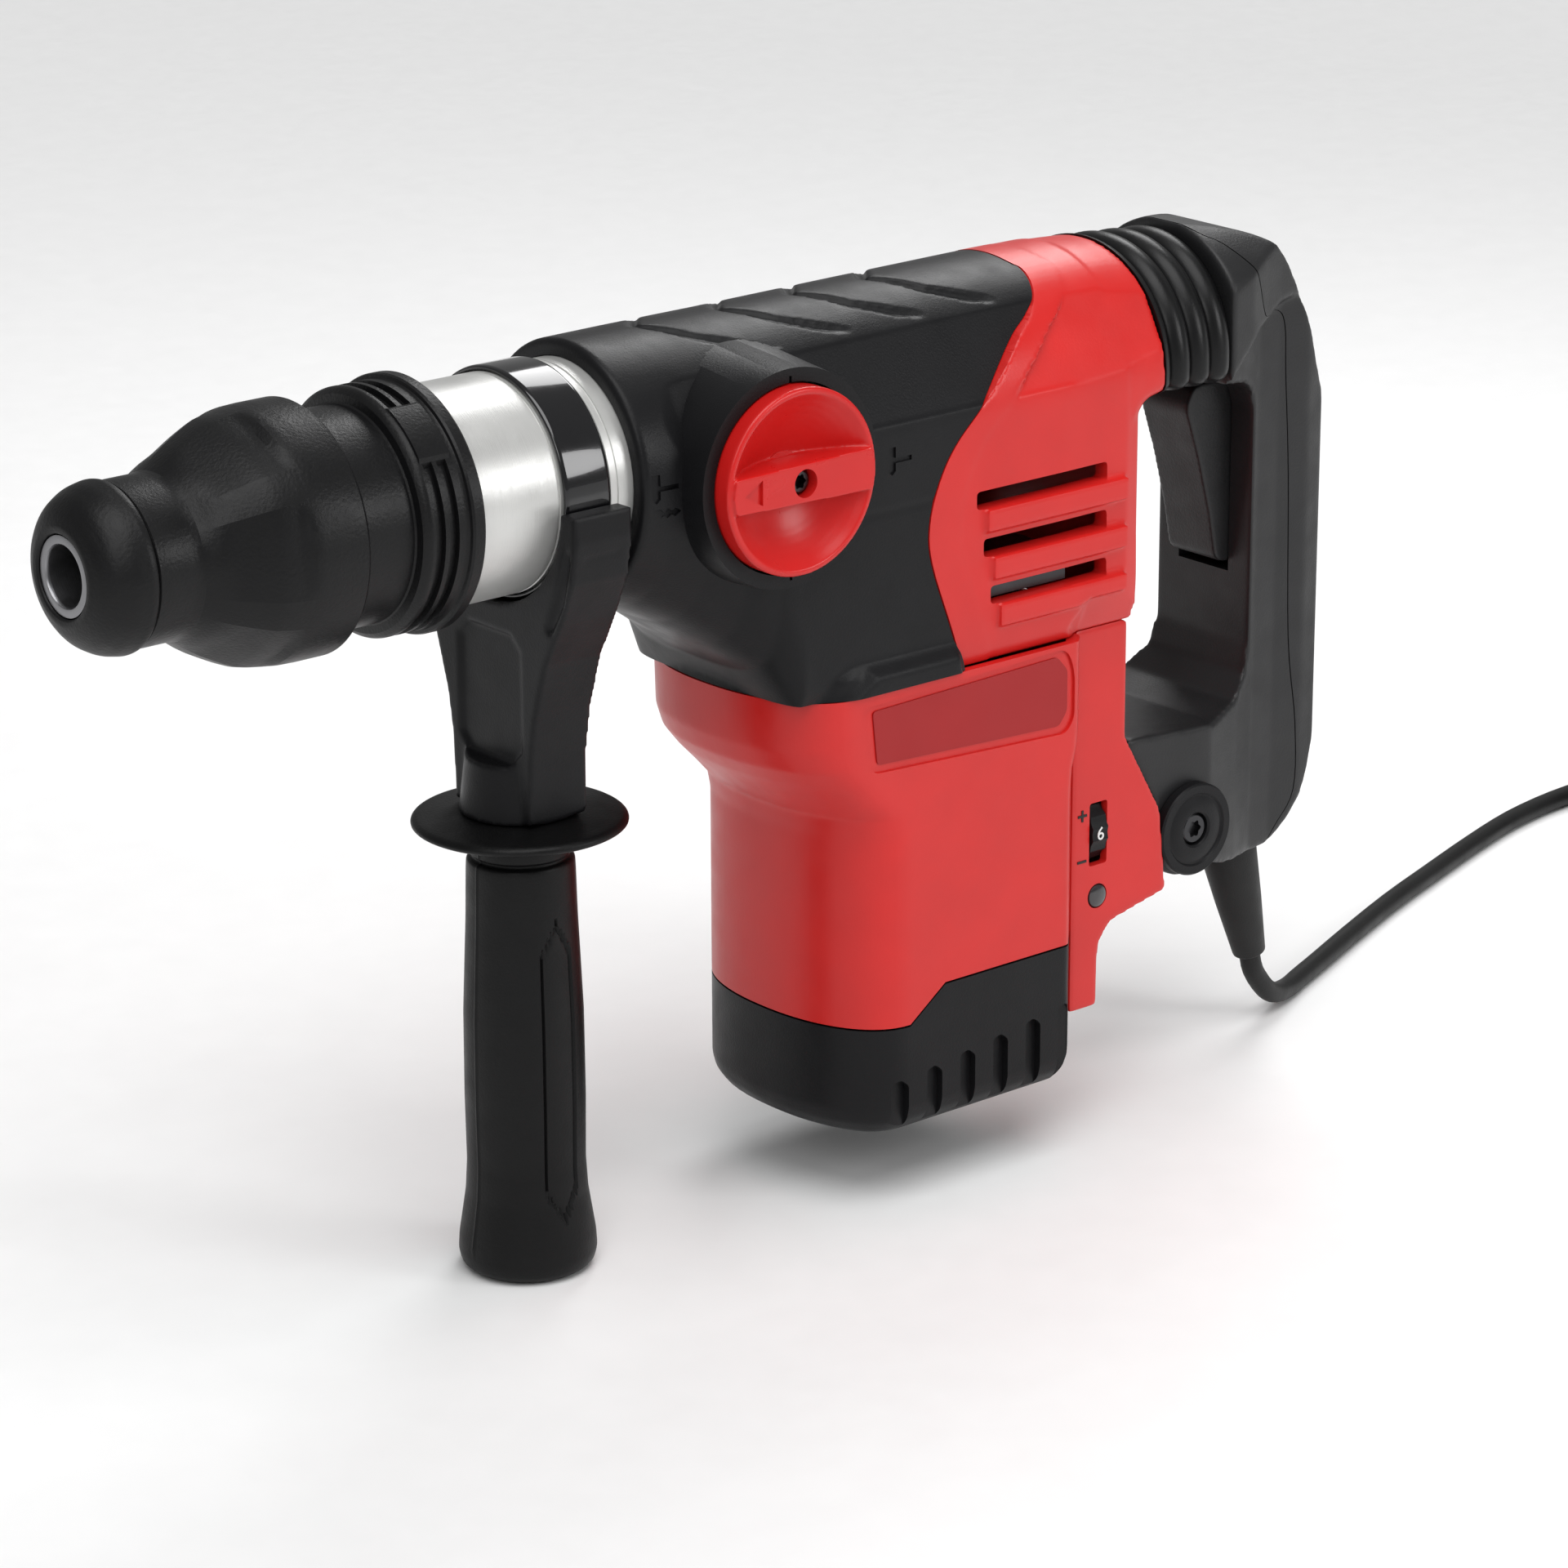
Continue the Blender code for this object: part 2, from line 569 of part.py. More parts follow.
def hollow_body(target):
    """Cut the inside of the upper body out of a casing, with a round mouth for the barrel."""
    inner = [body_section(x, NECK_BORE_R, NECK_BORE_R, -NECK_BORE_R, 2)
             for x in (HOUSING_FRONT_X - 5, HOUSING_FRONT_X + 5)]
    for x, top, half_width, bottom, power in BODY_STATIONS[2:-1]:
        inner.append(body_section(x + WALL / 2, top - WALL, half_width - WALL, bottom + WALL, power))
    inner[-1] = body_section(HOUSING_REAR_X - WALL, 37, 38, -83, 9)
    boolean(target, loft(f"{target.name}_hollow", inner))


def seam_prism(name, shift, forward):
    """All of the body before (or behind) the line between gear cover and rear shell."""
    line = [(x + shift, z) for x, z in SEAM_LINE]
    edge = 150 if forward else 420
    return prism(name, line + [(edge, line[-1][1]), (edge, line[0][1])], "Y", -70, 70)


def plan_section(z, front, rear, half_width, inset=0.0, count=15):
    """Plan outline with a rounded front and small chamfers at the rear corners."""
    depth, power = 25.0, 2.2
    chamfer = 5.0 + 3.0 * min(1.0, max(0.0, (-112 - z) / 16))
    loop = []
    for i in range(count):
        a = math.radians(-90 + 180 * i / (count - 1))
        c, s = math.cos(a), math.sin(a)
        x = front + depth - (depth - inset) * abs(c) ** (2 / power)
        y = (half_width - inset) * math.copysign(abs(s) ** (2 / power), s)
        loop.append((x, y, z))
    side = half_width - inset
    back = rear - inset
    loop += [(back - chamfer, side, z), (back, side - chamfer, z), (back, chamfer - side, z),
             (back - chamfer, -side, z)]
    return loop


MOTOR_STATIONS = ((SEAM_Z - GAP, 235), (-97, 235.5), (-104, 238), (-110, 243), (-117, 250),
                  (-124, 256.5), (-131, 258), (-200, 258))


def make_casings():
    cover = body_solid("gear_cover", BLACK)
    boolean(cover, cylinder("knob_boss", "Y", (KNOB_X, 0, KNOB_Z), 34.8, BOSS_FACE_Y, -20, segments=28,
                            end_radius=37.0), "UNION")
    chin = [(-62, 246, 40), (-70, 238.5, 43), (-74, 236, 44.6), (SEAM_Z - 2, 235, MOTOR_HALF_WIDTH)]
    boolean(cover, loft("chin", [plan_section(z, front, 312, half) for z, front, half in chin]), "UNION")
    hollow_body(cover)
    boolean(cover, cylinder("knob_recess", "Y", (KNOB_X, 0, KNOB_Z), 30.2, -70, -43.5, segments=28))
    boolean(cover, cylinder("knob_shaft_bore", "Y", (KNOB_X, 0, KNOB_Z), 8.6, -60, -30, segments=16))
    boolean(cover, box("below_seam", (170, -60, -100), (400, 60, SEAM_Z)))
    boolean(cover, seam_prism("behind_seam", -GAP / 2, False))

    rear = body_solid("rear_shell", RED)
    rim = [body_section(x, top, half, bottom, 5) for x, top, half, bottom in RIM_STATIONS]
    boolean(rear, loft("rear_rim", rim), "UNION")
    hollow_body(rear)
    rim = [body_section(x + 1, top - WALL, half - WALL, bottom + WALL, 5)
           for x, top, half, bottom in RIM_STATIONS[1:]]
    boolean(rear, loft("rim_hollow", rim))
    boolean(rear, seam_prism("before_seam", GAP / 2, True))
    boolean(rear, box("below_rear", (170, -60, -100), (400, 60, SEAM_Z)))
    slots = [((312 + 3 * i, -60, z - 3), (368, 60, z + 3)) for i, z in enumerate((-26, -42, -58))]
    boolean(rear, boxes("vent_slots", slots))

    outer = [plan_section(z, front, MOTOR_REAR_X, MOTOR_HALF_WIDTH) for z, front in MOTOR_STATIONS]
    inner = [plan_section(z, front, MOTOR_REAR_X, MOTOR_HALF_WIDTH, WALL) for z, front in MOTOR_STATIONS]
    motor = shell("motor_housing", outer, inner, RED, open_end=True)
    line = [(240, CAP_SEAM_Z), (283, CAP_SEAM_Z), (298, CAP_STEP_Z), (380, CAP_STEP_Z)]
    below = prism("below_cap_seam", line + [(380, -215), (240, -215)], "Y", -60, 60)
    boolean(motor, below)

    levels = ((-180, 0), (-226, 0), (-231, 2.0), (CAP_BOTTOM_Z, 8.0))
    outer = [plan_section(z, 258, MOTOR_REAR_X, MOTOR_HALF_WIDTH, inset) for z, inset in levels]
    inner = [plan_section(z, 258, MOTOR_REAR_X, MOTOR_HALF_WIDTH, inset)
             for z, inset in ((-180, WALL), (-225, WALL), (-231, 7.0))]
    cap = shell("vent_cap", outer, inner, BLACK)
    lifted = [(x, z - GAP) for x, z in line]
    boolean(cap, prism("above_cap_seam", lifted + [(380, -170), (240, -170)], "Y", -60, 60))
    vents = []
    for i in range(6):
        x = 280 + 14.5 * i
        for low, high in ((-60, -40.5), (40.5, 60)):
            vents.append(((x, low, -229), (x + 4, high, -216 + 2 * i)))
    boolean(cap, boxes("cap_vents", vents))

    side_view = [(MOTOR_REAR_X + 0.4, SEAM_Z - GAP), (HOUSING_REAR_X - 1, SEAM_Z - GAP),
                 (HOUSING_REAR_X - 1, -123), (400, -150), (400, -166), (404, -180), (384, -186),
                 (376, -194), (374, -213), (MOTOR_REAR_X + 0.4, -213)]
    strip = prism("electronics_cover", side_view, "Y", -37, 37, RED)
    hollow = [(350, -70), (381, -70), (381, -125), (397, -151), (397, -165), (400, -177.5),
              (382, -183), (373, -192.5), (371, -210), (350, -210)]
    boolean(strip, prism("electronics_hollow", hollow, "Y", -34, 34))
    boolean(strip, box("bracket_opening", (380, -13, -178), (410, 13, -144)))
    boolean(strip, box("dial_window", (DIAL_X - 4, -60, DIAL_Z - 11), (DIAL_X + 4, -30, DIAL_Z + 11)))
    boolean(strip, cylinder("lens_hole", "Y", (DIAL_X, 0, LENS_Z), 4.3, -60, -30, segments=16))
    cylinder("indicator_lens", "Y", (DIAL_X, 0, LENS_Z), 4.0, -37.6, -32, LENS, 16)
    prism("label_plate", [(266, -84.5), (345, -86.5), (347.5, -105), (267.5, -103)], "Y",
          -MOTOR_HALF_WIDTH - 1.1, -MOTOR_HALF_WIDTH - GAP, DARK_RED)
    box("circuit_board", (363, -28, -205), (364.6, 28, -100), BOARD)


# ---------------------------------------------------------------- controls

def make_controls():
    at = (KNOB_X, 0, KNOB_Z)
    knob = turned("selector_knob", "Y", at,
                  [(-55.4, KNOB_R - 0.8), (-54.4, KNOB_R), (-44.2, KNOB_R), (-44.2, 0), (-48.4, 0),
                   (-48.4, 14), (-51.5, 24.5), (-55.4, 27.4)], RED, 28)
    boolean(knob, box("knob_bar", (KNOB_X - 26.5, KNOB_FACE_Y, KNOB_Z - 6.5),
                      (KNOB_X + 26.5, -45.5, KNOB_Z + 6.5)), "UNION")
    boolean(knob, cylinder("selector_shaft", "Y", at, 8.0, -46, -30, segments=16), "UNION")
    boolean(knob, cylinder("knob_screw_hole", "Y", at, 4.6, -70, -40, segments=16))
    cylinder("knob_screw", "Y", at, 4.2, -56.4, -41, DARK_STEEL, 16)
    cam = cylinder("selector_cam", "Y", (KNOB_X + 4.5, 0, KNOB_Z), 2.5, -32, -25, segments=10)
    boolean(knob, cam, "UNION")

    teeth = 24
    outline = []
    for i in range(teeth):
        a = 2 * math.pi * i / teeth
        radius = DIAL_R if i % 2 else DIAL_R - 0.7
        outline.append((radius * math.cos(a), radius * math.sin(a)))
    dial = prism("speed_dial", [(y + DIAL_Y, z + DIAL_Z) for y, z in outline], "X",
                 DIAL_X - 3.4, DIAL_X + 3.4, BLACK)
    axle = cylinder("dial_axle", "X", (0, DIAL_Y, DIAL_Z), 1.9, DIAL_X - 5, DIAL_X + 5, segments=12)
    boolean(dial, axle, "UNION")
    on_joint("speed_dial_axis", (DIAL_X, DIAL_Y, DIAL_Z), dial)

    outline = [(434.5, -23), (437.5, -17), (441, -15.6), (462.5, -15.2), (464, -20), (464, -72),
               (459.5, -79.5), (452, -79.5), (449.4, -77)]
    trigger = prism("trigger", outline, "Y", -11.4, 11.4, BLACK)
    on_joint("trigger_axis", (TRIGGER_PIVOT_X, 0, TRIGGER_PIVOT_Z), trigger)
    switch = box("switch", (471.5, -9, -62), (489, 9, -24), BLACK)
    on_joint("switch_axis", (PIVOT_X, 0, PIVOT_Z), switch)


# ---------------------------------------------------------------- rear handle

HANDLE_OUTER = [(433, 39.5), (446, 37.6), (458, 33.8), (467.5, 27), (475, 17), (482.5, 5), (486.7, -5),
                (490, -14), (496.6, -31), (501, -50), (502.5, -75), (500.5, -110), (498, -132),
                (496.5, -145), (493.5, -154), (490, -163), (484, -171), (477, -178), (468, -182.5),
                (452, -182), (438, -180)]
HANDLE_INNER = [(403, -150), (388.5, -126.5), (391, -124.5), (430, -127), (444, -123.5), (452, -116),
                (455, -106), (455, -24), (452.5, -17), (447, -13.5), (433, -11)]
SOFT_LINE = [(433.5, 60), (433.5, 40), (440, 34), (447.5, 24), (453, 10.5), (456.5, 8), (467.5, 7),
             (471.5, 1), (472.5, -16), (475, -52), (477, -109), (481.5, -141), (481.5, -165),
             (472.5, -177), (462, -190)]


def handle_blank(name, finish):
    """The whole D-shaped handle: side view, plan and end view cut from one block."""
    pivot = arc(PIVOT_X, PIVOT_Z, 17.2, -60, -205, 10)
    outline = HANDLE_OUTER + pivot + HANDLE_INNER
    blank = prism(name, outline, "Y", -ARM_HALF_WIDTH, ARM_HALF_WIDTH, finish)
    half = [(380, ARM_HALF_WIDTH), (428, ARM_HALF_WIDTH), (446, 27), (458, 21.5), (470, GRIP_HALF_WIDTH),
            (484, GRIP_HALF_WIDTH), (494, 16), (500, 9.5), (503, 3)]
    plan = prism(f"{name}_plan", half + [(x, -y) for x, y in reversed(half)], "Z", -210, 60)
    wide = [(400, 34), (434, 34), (445, 31.5), (456, 27), (466, 23.2), (477, 20.4), (486, 18.6),
            (494, 15.6), (500, 9)]
    crown = prism(f"{name}_crown", wide + [(x, -y) for x, y in reversed(wide)], "Z", -40, 60)
    below = [(390, -50), (390, -16), (430, -12), (450, 4), (466, 10), (510, 16), (510, -50)]
    boolean(crown, prism(f"{name}_below", below, "Y", -60, 60))
    boolean(plan, crown, "UNION")
    boolean(blank, plan, "INTERSECT")
    end_outline = arc(0, 0, 40.2, 0, 180, 20) + [(-41, -210), (41, -210)]
    end_view = prism(f"{name}_end", end_outline, "X", 370, 520)
    boolean(blank, end_view, "INTERSECT")
    return blank


def make_handle():
    frame = handle_blank("handle_frame", BLACK)
    rear = [(520, -196), (520, 60)]
    boolean(frame, prism("soft_region", SOFT_LINE + rear, "Y", -50, 50))
    cover = handle_blank("handle_cover", SOFT_BLACK)
    front = [(380, -196), (380, 60)]
    boolean(cover, prism("hard_region", [(x + GAP, z) for x, z in SOFT_LINE] + front, "Y", -50, 50))
    boolean(frame, box("trigger_pocket", (445, -12, -83), (492, 12, -13.6)))
    boolean(cover, box("switch_pocket", (460, -12, -83), (490, 12, -22)))
    boolean(frame, box("bracket_slot", (380, -13, -200), (440, 13, -140)))
    boolean(frame, cylinder("pivot_bore", "Y", (PIVOT_X, 0, PIVOT_Z), 5.5, -50, 50, segments=20))
    boolean(frame, cylinder("damper_bore", "X", (0, 0, 12), 17.5, 420, 441, segments=24))

    for target in (frame, cover):
        hole = cylinder(f"relief_hole_{target.name}", "Z", RELIEF_TOP, 8.5, -14, 14, segments=20)
        hole.rotation_euler = (0, -RELIEF_LEAN, 0)
        boolean(target, hole)
    on_joint("handle_axis", (PIVOT_X, 0, PIVOT_Z), frame, cover)

    outline = [(366, -148), (417, -146), *arc(PIVOT_X, PIVOT_Z, 14.5, 80, -80, 10), (417, -175.5),
               (366, -174)]
    bracket = prism("pivot_bracket", outline, "Y", -12.4, 12.4, SATIN)
    boolean(bracket, cylinder("bracket_bore", "Y", (PIVOT_X, 0, PIVOT_Z), 5.3, -20, 20, segments=20))
    cylinder("pivot_pin", "Y", (PIVOT_X, 0, PIVOT_Z), 5.0, -32.0, 32.0, STEEL, 20)
    for label, side in (("near", -1), ("far", 1)):
        lo, hi = sorted((side * 33.3, side * 36.6))
        ring(f"pivot_disc_{label}", "Y", (PIVOT_X, 0, PIVOT_Z), 5.6, PIVOT_DISC_R, lo, hi, BLACK, 20)

    cylinder("pivot_screw", "Y", (PIVOT_X, 0, PIVOT_Z), 5.2, -36.0, -32.4, DARK_STEEL, 16)

    outer, inner = [], []
    for i in range(7):
        t = i / 6
        x = RIM_X + 0.4 + (432.6 - RIM_X - 0.4) * t
        swell = 0.0 if i % 2 == 0 else 2.0
        sizes = (38.2 - 2.2 * t, 38.8 - 5.5 * t, -7.0 - 3.0 * t)
        wide = (sizes[0] + swell, sizes[1] + swell, sizes[2] - swell / 2)
        outer.append(body_section(x, *wide, 5, 20))
        inner.append(body_section(x, wide[0] - 4, wide[1] - 4, wide[2] + 4, 5, 20))
    shell("bellows", outer, inner, RUBBER, open_end=True)
    tube("damper_spring", helix(12.0, 13.0, 388.0, 438.5, 4, 7), 1.3, STEEL, sides=1)


def along_relief(distance):
    x, y, z = RELIEF_TOP
    return (x + distance * math.sin(RELIEF_LEAN), y, z - distance * math.cos(RELIEF_LEAN))


def make_cord():
    relief = turned("strain_relief", "Z", RELIEF_TOP,
                    [(12.5, 0), (12.5, 8), (-5, 8), (-5, 10.2), (-12, 10), (-32, 8.2), (-RELIEF_LENGTH, 5.8),
                     (-RELIEF_LENGTH, 0)], RUBBER, 20)
    relief.rotation_euler = (0, -RELIEF_LEAN, 0)
    on_joint("relief_axis", (PIVOT_X, 0, PIVOT_Z), relief)
    start = along_relief(RELIEF_LENGTH + 2 * GAP)
    knee = along_relief(RELIEF_LENGTH + 8)
    route = [start, knee, (491.5, 1.2, -247.0), (500, 4.2, -251.6), (511, 9, -253.7),
             (522, 14, CORD_Z), (540, 21.5, CORD_Z), (567, 33, CORD_Z), (604, 48, CORD_Z),
             (639, 60.5, CORD_Z), (675, 73, CORD_Z), (708, 83, CORD_Z), (739, 88.4, CORD_Z),
             (766, 89.5, CORD_Z)]
    tube("cord", smooth_route(route, 2), CORD_R, RUBBER, sides=2)
    turned("cord_coil", "Z", (COIL_X, COIL_Y, FLOOR),
           [(0.3, COIL_INNER_R + 3), (3, COIL_INNER_R), (COIL_HEIGHT - 3, COIL_INNER_R),
            (COIL_HEIGHT, COIL_INNER_R + 3), (COIL_HEIGHT, COIL_OUTER_R - 3), (COIL_HEIGHT - 3, COIL_OUTER_R),
            (3, COIL_OUTER_R), (0.3, COIL_OUTER_R - 3)], RUBBER)

    heading = math.atan2(-0.34, -0.94)
    at = (796.0, -27.5, FLOOR + 9.3)
    stations = ((0, 4.6, 4.6), (22, 6.2, 6.2), (26, 11, 8), (33, 17, 8.9), (50, 18, 8.9), (56, 17.4, 8.6))
    loops = []
    for x, half_width, half_height in stations:
        loop = []
        for i in range(16):
            a = 2 * math.pi * i / 16
            c, s = math.cos(a), math.sin(a)
            y = half_width * math.copysign(abs(c) ** 0.75, c)
            loop.append((x, y, half_height * math.copysign(abs(s) ** 0.75, s)))
        loops.append(loop)
    body = loft("plug_body", loops, BLACK)
    body.location = Vector(at) * MM
    body.rotation_euler = (0, 0, heading)
    for label, side in (("left", -1), ("right", 1)):
        pin = cylinder(f"plug_pin_{label}", "X", at, 2.4, 56.4, 75, STEEL, 12)
        turn = Matrix.Rotation(heading, 4, "Z")
        pin.location = (Vector(at) + turn @ Vector((0, side * 9.5, 0))) * MM
        pin.rotation_euler = (0, 0, heading)


make_chuck()
make_hammer_train()
make_gears()
make_motor()
make_barrel()
make_side_handle()
make_casings()
make_controls()
make_handle()
make_cord()
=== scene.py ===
# Looks of a corded combination and demolition hammer. Lengths are in millimetres in the tool's
# frame: X runs along the tool axis from the nose at x = 0 to the rear, y = 0 is the middle and the
# mode knob is on the -Y side, z = 0 is the tool axis. place() turns them into the row's metres.
from math import atan2, copysign, cos, pi, radians, sin, sqrt

import bmesh
import bpy
from mathutils import Matrix, Vector


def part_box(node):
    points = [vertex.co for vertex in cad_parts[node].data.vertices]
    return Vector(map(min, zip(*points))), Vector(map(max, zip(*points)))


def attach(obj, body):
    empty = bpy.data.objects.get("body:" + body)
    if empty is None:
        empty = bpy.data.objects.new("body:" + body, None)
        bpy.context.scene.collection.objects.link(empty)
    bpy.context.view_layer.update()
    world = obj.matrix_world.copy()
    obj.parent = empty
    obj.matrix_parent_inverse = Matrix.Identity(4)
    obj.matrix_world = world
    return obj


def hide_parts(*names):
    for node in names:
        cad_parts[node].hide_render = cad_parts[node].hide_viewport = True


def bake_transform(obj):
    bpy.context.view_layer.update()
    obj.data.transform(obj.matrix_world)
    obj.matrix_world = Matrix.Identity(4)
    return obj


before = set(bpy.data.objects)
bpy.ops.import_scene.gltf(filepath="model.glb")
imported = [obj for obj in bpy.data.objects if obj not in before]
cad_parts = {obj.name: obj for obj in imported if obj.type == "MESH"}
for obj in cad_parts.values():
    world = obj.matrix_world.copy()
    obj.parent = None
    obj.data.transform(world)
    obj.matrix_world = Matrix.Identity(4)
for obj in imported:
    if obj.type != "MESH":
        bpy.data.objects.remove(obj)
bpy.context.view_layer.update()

MM = 0.001                              # metres in a millimetre
HOLDER_LOW, HOLDER_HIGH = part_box("spindle_tube")
NOSE_OFFSET = 0.5                       # the holder's ring stands this far in front of x = 0
TOOL_ORIGIN = Vector((HOLDER_LOW.x + NOSE_OFFSET * MM, (HOLDER_LOW.y + HOLDER_HIGH.y) / 2,
                      (HOLDER_LOW.z + HOLDER_HIGH.z) / 2))
FLOOR = -TOOL_ORIGIN.z / MM

BARREL_R = 34.1
AUX_X = 161.0                           # axis of the side handle's grip
GUARD_Z = -108.6                        # middle of the round guard disc
GUARD_R = 34.0
HOUSING_FRONT_X = 180.0
HOUSING_REAR_X = 385.0
RIM_X = 396.0                           # rear end of the rim that carries the bellows
BELLOWS_REAR_X = 432.6
SEAM_Z = -80.0                          # between the upper body and the motor housing
KNOB_X = 229.0
KNOB_Z = -2.0
KNOB_R = 29.5
CAP_SEAM_Z = -195.0
CAP_STEP_Z = -184.0                     # the same seam behind its step
CAP_BOTTOM_Z = -234.0
MOTOR_FRONT_X = 258.0
MOTOR_REAR_X = 360.0
MOTOR_HALF_WIDTH = 45.0
DIAL_X = 372.5
DIAL_Y = -26.5
DIAL_Z = -152.0
DIAL_R = 12.0
LENS_Z = -174.0
PIVOT_X = 418.0                         # lower pivot of the rear handle
PIVOT_Z = -161.0
PIVOT_BORE_R = 5.5
WALL = 3.0
INSIDE = 5.2                            # wall of the upper body, behind its flats
GAP = 0.3                               # between touching pieces


def place(x, y, z):
    """A point of the tool, in the row's metres."""
    return TOOL_ORIGIN + Vector((x, y, z)) * MM


def add_object(name, data):
    obj = bpy.data.objects.new(name, data)
    bpy.context.scene.collection.objects.link(obj)
    return obj


def around(count):
    """Cosine and sine of count equal steps round a circle."""
    return [(cos(2 * pi * i / count), sin(2 * pi * i / count)) for i in range(count)]


def squared(value, power):
    """A sine or cosine raised to a power with its sign kept: below 1 it squares a round outline."""
    return copysign(abs(value) ** power, value)


# ---------------------------------------------------------------- camera and cord

def make_camera():
    azimuth, elevation, roll = radians(40.086), radians(18.614), radians(0.203)
    back = Vector((-sin(azimuth) * cos(elevation), -cos(azimuth) * cos(elevation),
                   sin(elevation)))
    right = Vector((0, 0, 1)).cross(back).normalized()
    up = back.cross(right)
    turn = Matrix((right, up, back)).transposed() @ Matrix.Rotation(-roll, 3, "Z")
    data = bpy.data.cameras.new("photo_camera")
    data.lens = 125.6
    data.sensor_width = 36.0
    data.clip_end = 20.0
    camera = add_object("photo_camera", data)
    camera.matrix_world = Matrix.Translation(place(-807.7, -1278.0, 441.3)) @ turn.to_4x4()
    bpy.context.scene.camera = camera


RELIEF_TOP = Vector((467.0, 0.0, -178.5))
RELIEF_LEAN = radians(16)
RELIEF_LENGTH = 54.0
CORD_R = 3.75
CORD_Z = FLOOR + CORD_R + 0.25          # middle of the cord where it lies on the floor
COIL_X = 802.0
COIL_Y = 36.0
TURN_RADII = (53.5, 45.8, 38.1, 30.4)
LEVEL_STEP = 7.52                       # height of one level of turns
TURN_STEPS = 36
SHIFT_DEGREES = 45                      # part of a turn in which the cord moves over
LAST_DEGREES = 360 + 165                # what the last turn covers
LAST_DROP = 2.0                         # levels that it comes down
PLUG_AT = (796.0, -27.5, FLOOR + 9.3)
PLUG_HEADING = atan2(-0.34, -0.94)


def along_relief(distance):
    down = Vector((sin(RELIEF_LEAN), 0, -cos(RELIEF_LEAN)))
    return RELIEF_TOP + down * distance


def smooth_route(route, steps):
    """Catmull-Rom points through a route, with steps points for each of its spans."""
    padded = [route[0]] + list(route) + [route[-1]]
    points = []
    for a, b, c, d in zip(padded, padded[1:], padded[2:], padded[3:]):
        a, b, c, d = (Vector(p) for p in (a, b, c, d))
        for i in range(steps):
            t = i / steps
            points.append(0.5 * (2 * b + (c - a) * t + (2 * a - 5 * b + 4 * c - d) * t ** 2
                                 + (3 * b - a - 3 * c + d) * t ** 3))
    points.append(Vector(route[-1]))
    return points


def smoothstep(value, low, high):
    t = min(1.0, max(0.0, (value - low) / (high - low)))
    return t * t * (3 - 2 * t)


def coil_points():
    """Turns beside and on each other; each level shifts and climbs in its own part of the turn."""
    outer, second, third, inner = TURN_RADII
    # level, radius, radius after it or None where the cord climbs, degrees at which it starts to move
    turns = [(0, outer, second, 285), (0, second, third, 285), (0, third, inner, 285),
             (0, inner, None, 240),
             (1, inner, third, 195), (1, third, second, 195), (1, second, None, 150),
             (2, second, third, 105), (2, third, inner, 105), (2, inner, None, 60),
             (3, inner, third, 15), (3, third, second, 15), (3, second, outer, 15)]
    points = []

    def add(degrees, radius, level):
        a = radians(90 - degrees)
        points.append((COIL_X + radius * cos(a), COIL_Y + radius * sin(a),
                       CORD_Z + LEVEL_STEP * level))

    for level, radius, after, start in turns:
        for i in range(TURN_STEPS):
            degrees = 360 * i / TURN_STEPS
            moved = smoothstep(degrees, start, start + SHIFT_DEGREES)
            if after is None:
                add(degrees, radius, level + moved)
            else:
                add(degrees, radius + (after - radius) * moved, level)
    for degrees in range(0, LAST_DEGREES + 1, 10):
        add(degrees, outer, 3 - LAST_DROP * degrees / LAST_DEGREES)
    return points


def cord_points():
    """The cord's middle line from the relief to the plug in millimetres, and its length in metres."""
    start = along_relief(RELIEF_LENGTH + GAP)
    knee = along_relief(RELIEF_LENGTH + 8)
    route = [start, knee, (491.5, 1.2, -247.0), (500, 4.2, -251.6), (511, 9, -253.7),
             (522, 14, CORD_Z), (540, 21.5, CORD_Z), (567, 33, CORD_Z), (604, 48, CORD_Z),
             (639, 60.5, CORD_Z), (675, 73, CORD_Z), (708, 83, CORD_Z), (739, 88.4, CORD_Z),
             (766, 89.5, CORD_Z), (788, 89.5, CORD_Z)]
    points = smooth_route(route, 3) + [Vector(p) for p in coil_points()]
    back = Vector((-cos(PLUG_HEADING), -sin(PLUG_HEADING), 0))
    points += smooth_route([points[-1], Vector(PLUG_AT) + back * 9, Vector(PLUG_AT) + back * 0.4], 3)[1:]
    length = sum((b - a).length for a, b in zip(points, points[1:])) * MM
    return points, round(length, 3)


make_camera()
CORD_POINTS, CORD_LENGTH = cord_points()

# ---------------------------------------------------------------- modelling helpers

SHARP_AFTER_CUT = 38                    # degrees between faces that stay a hard edge


def smooth(obj, degrees):
    """Shade smooth, apart from edges sharper than degrees."""
    obj.data.shade_smooth()
    obj.data.set_sharp_from_angle(angle=radians(degrees))


def add_piece(name, bm, smooth_angle=None):
    """Turn a bmesh in tool millimetres into an object in the row's metres."""
    bmesh.ops.recalc_face_normals(bm, faces=bm.faces)
    bmesh.ops.transform(bm, matrix=Matrix.Translation(TOOL_ORIGIN) @ Matrix.Scale(MM, 4), verts=bm.verts)
    mesh = bpy.data.meshes.new(name)
    bm.to_mesh(mesh)
    bm.free()
    obj = add_object(name, mesh)
    if smooth_angle is not None:
        smooth(obj, smooth_angle)
    return obj


def move_to(obj, at, turn=Matrix.Identity(4)):
    """Turn a piece that was made about the tool's origin, and move it to a place."""
    obj.data.transform(Matrix.Translation(place(*at)) @ turn @ Matrix.Translation(-TOOL_ORIGIN))
    return obj


def evaluated_mesh(obj):
    bpy.context.view_layer.update()
    return bpy.data.meshes.new_from_object(obj.evaluated_get(bpy.context.evaluated_depsgraph_get()))


def apply_modifiers(obj):
    mesh = evaluated_mesh(obj)
    obj.modifiers.clear()
    obj.data = mesh


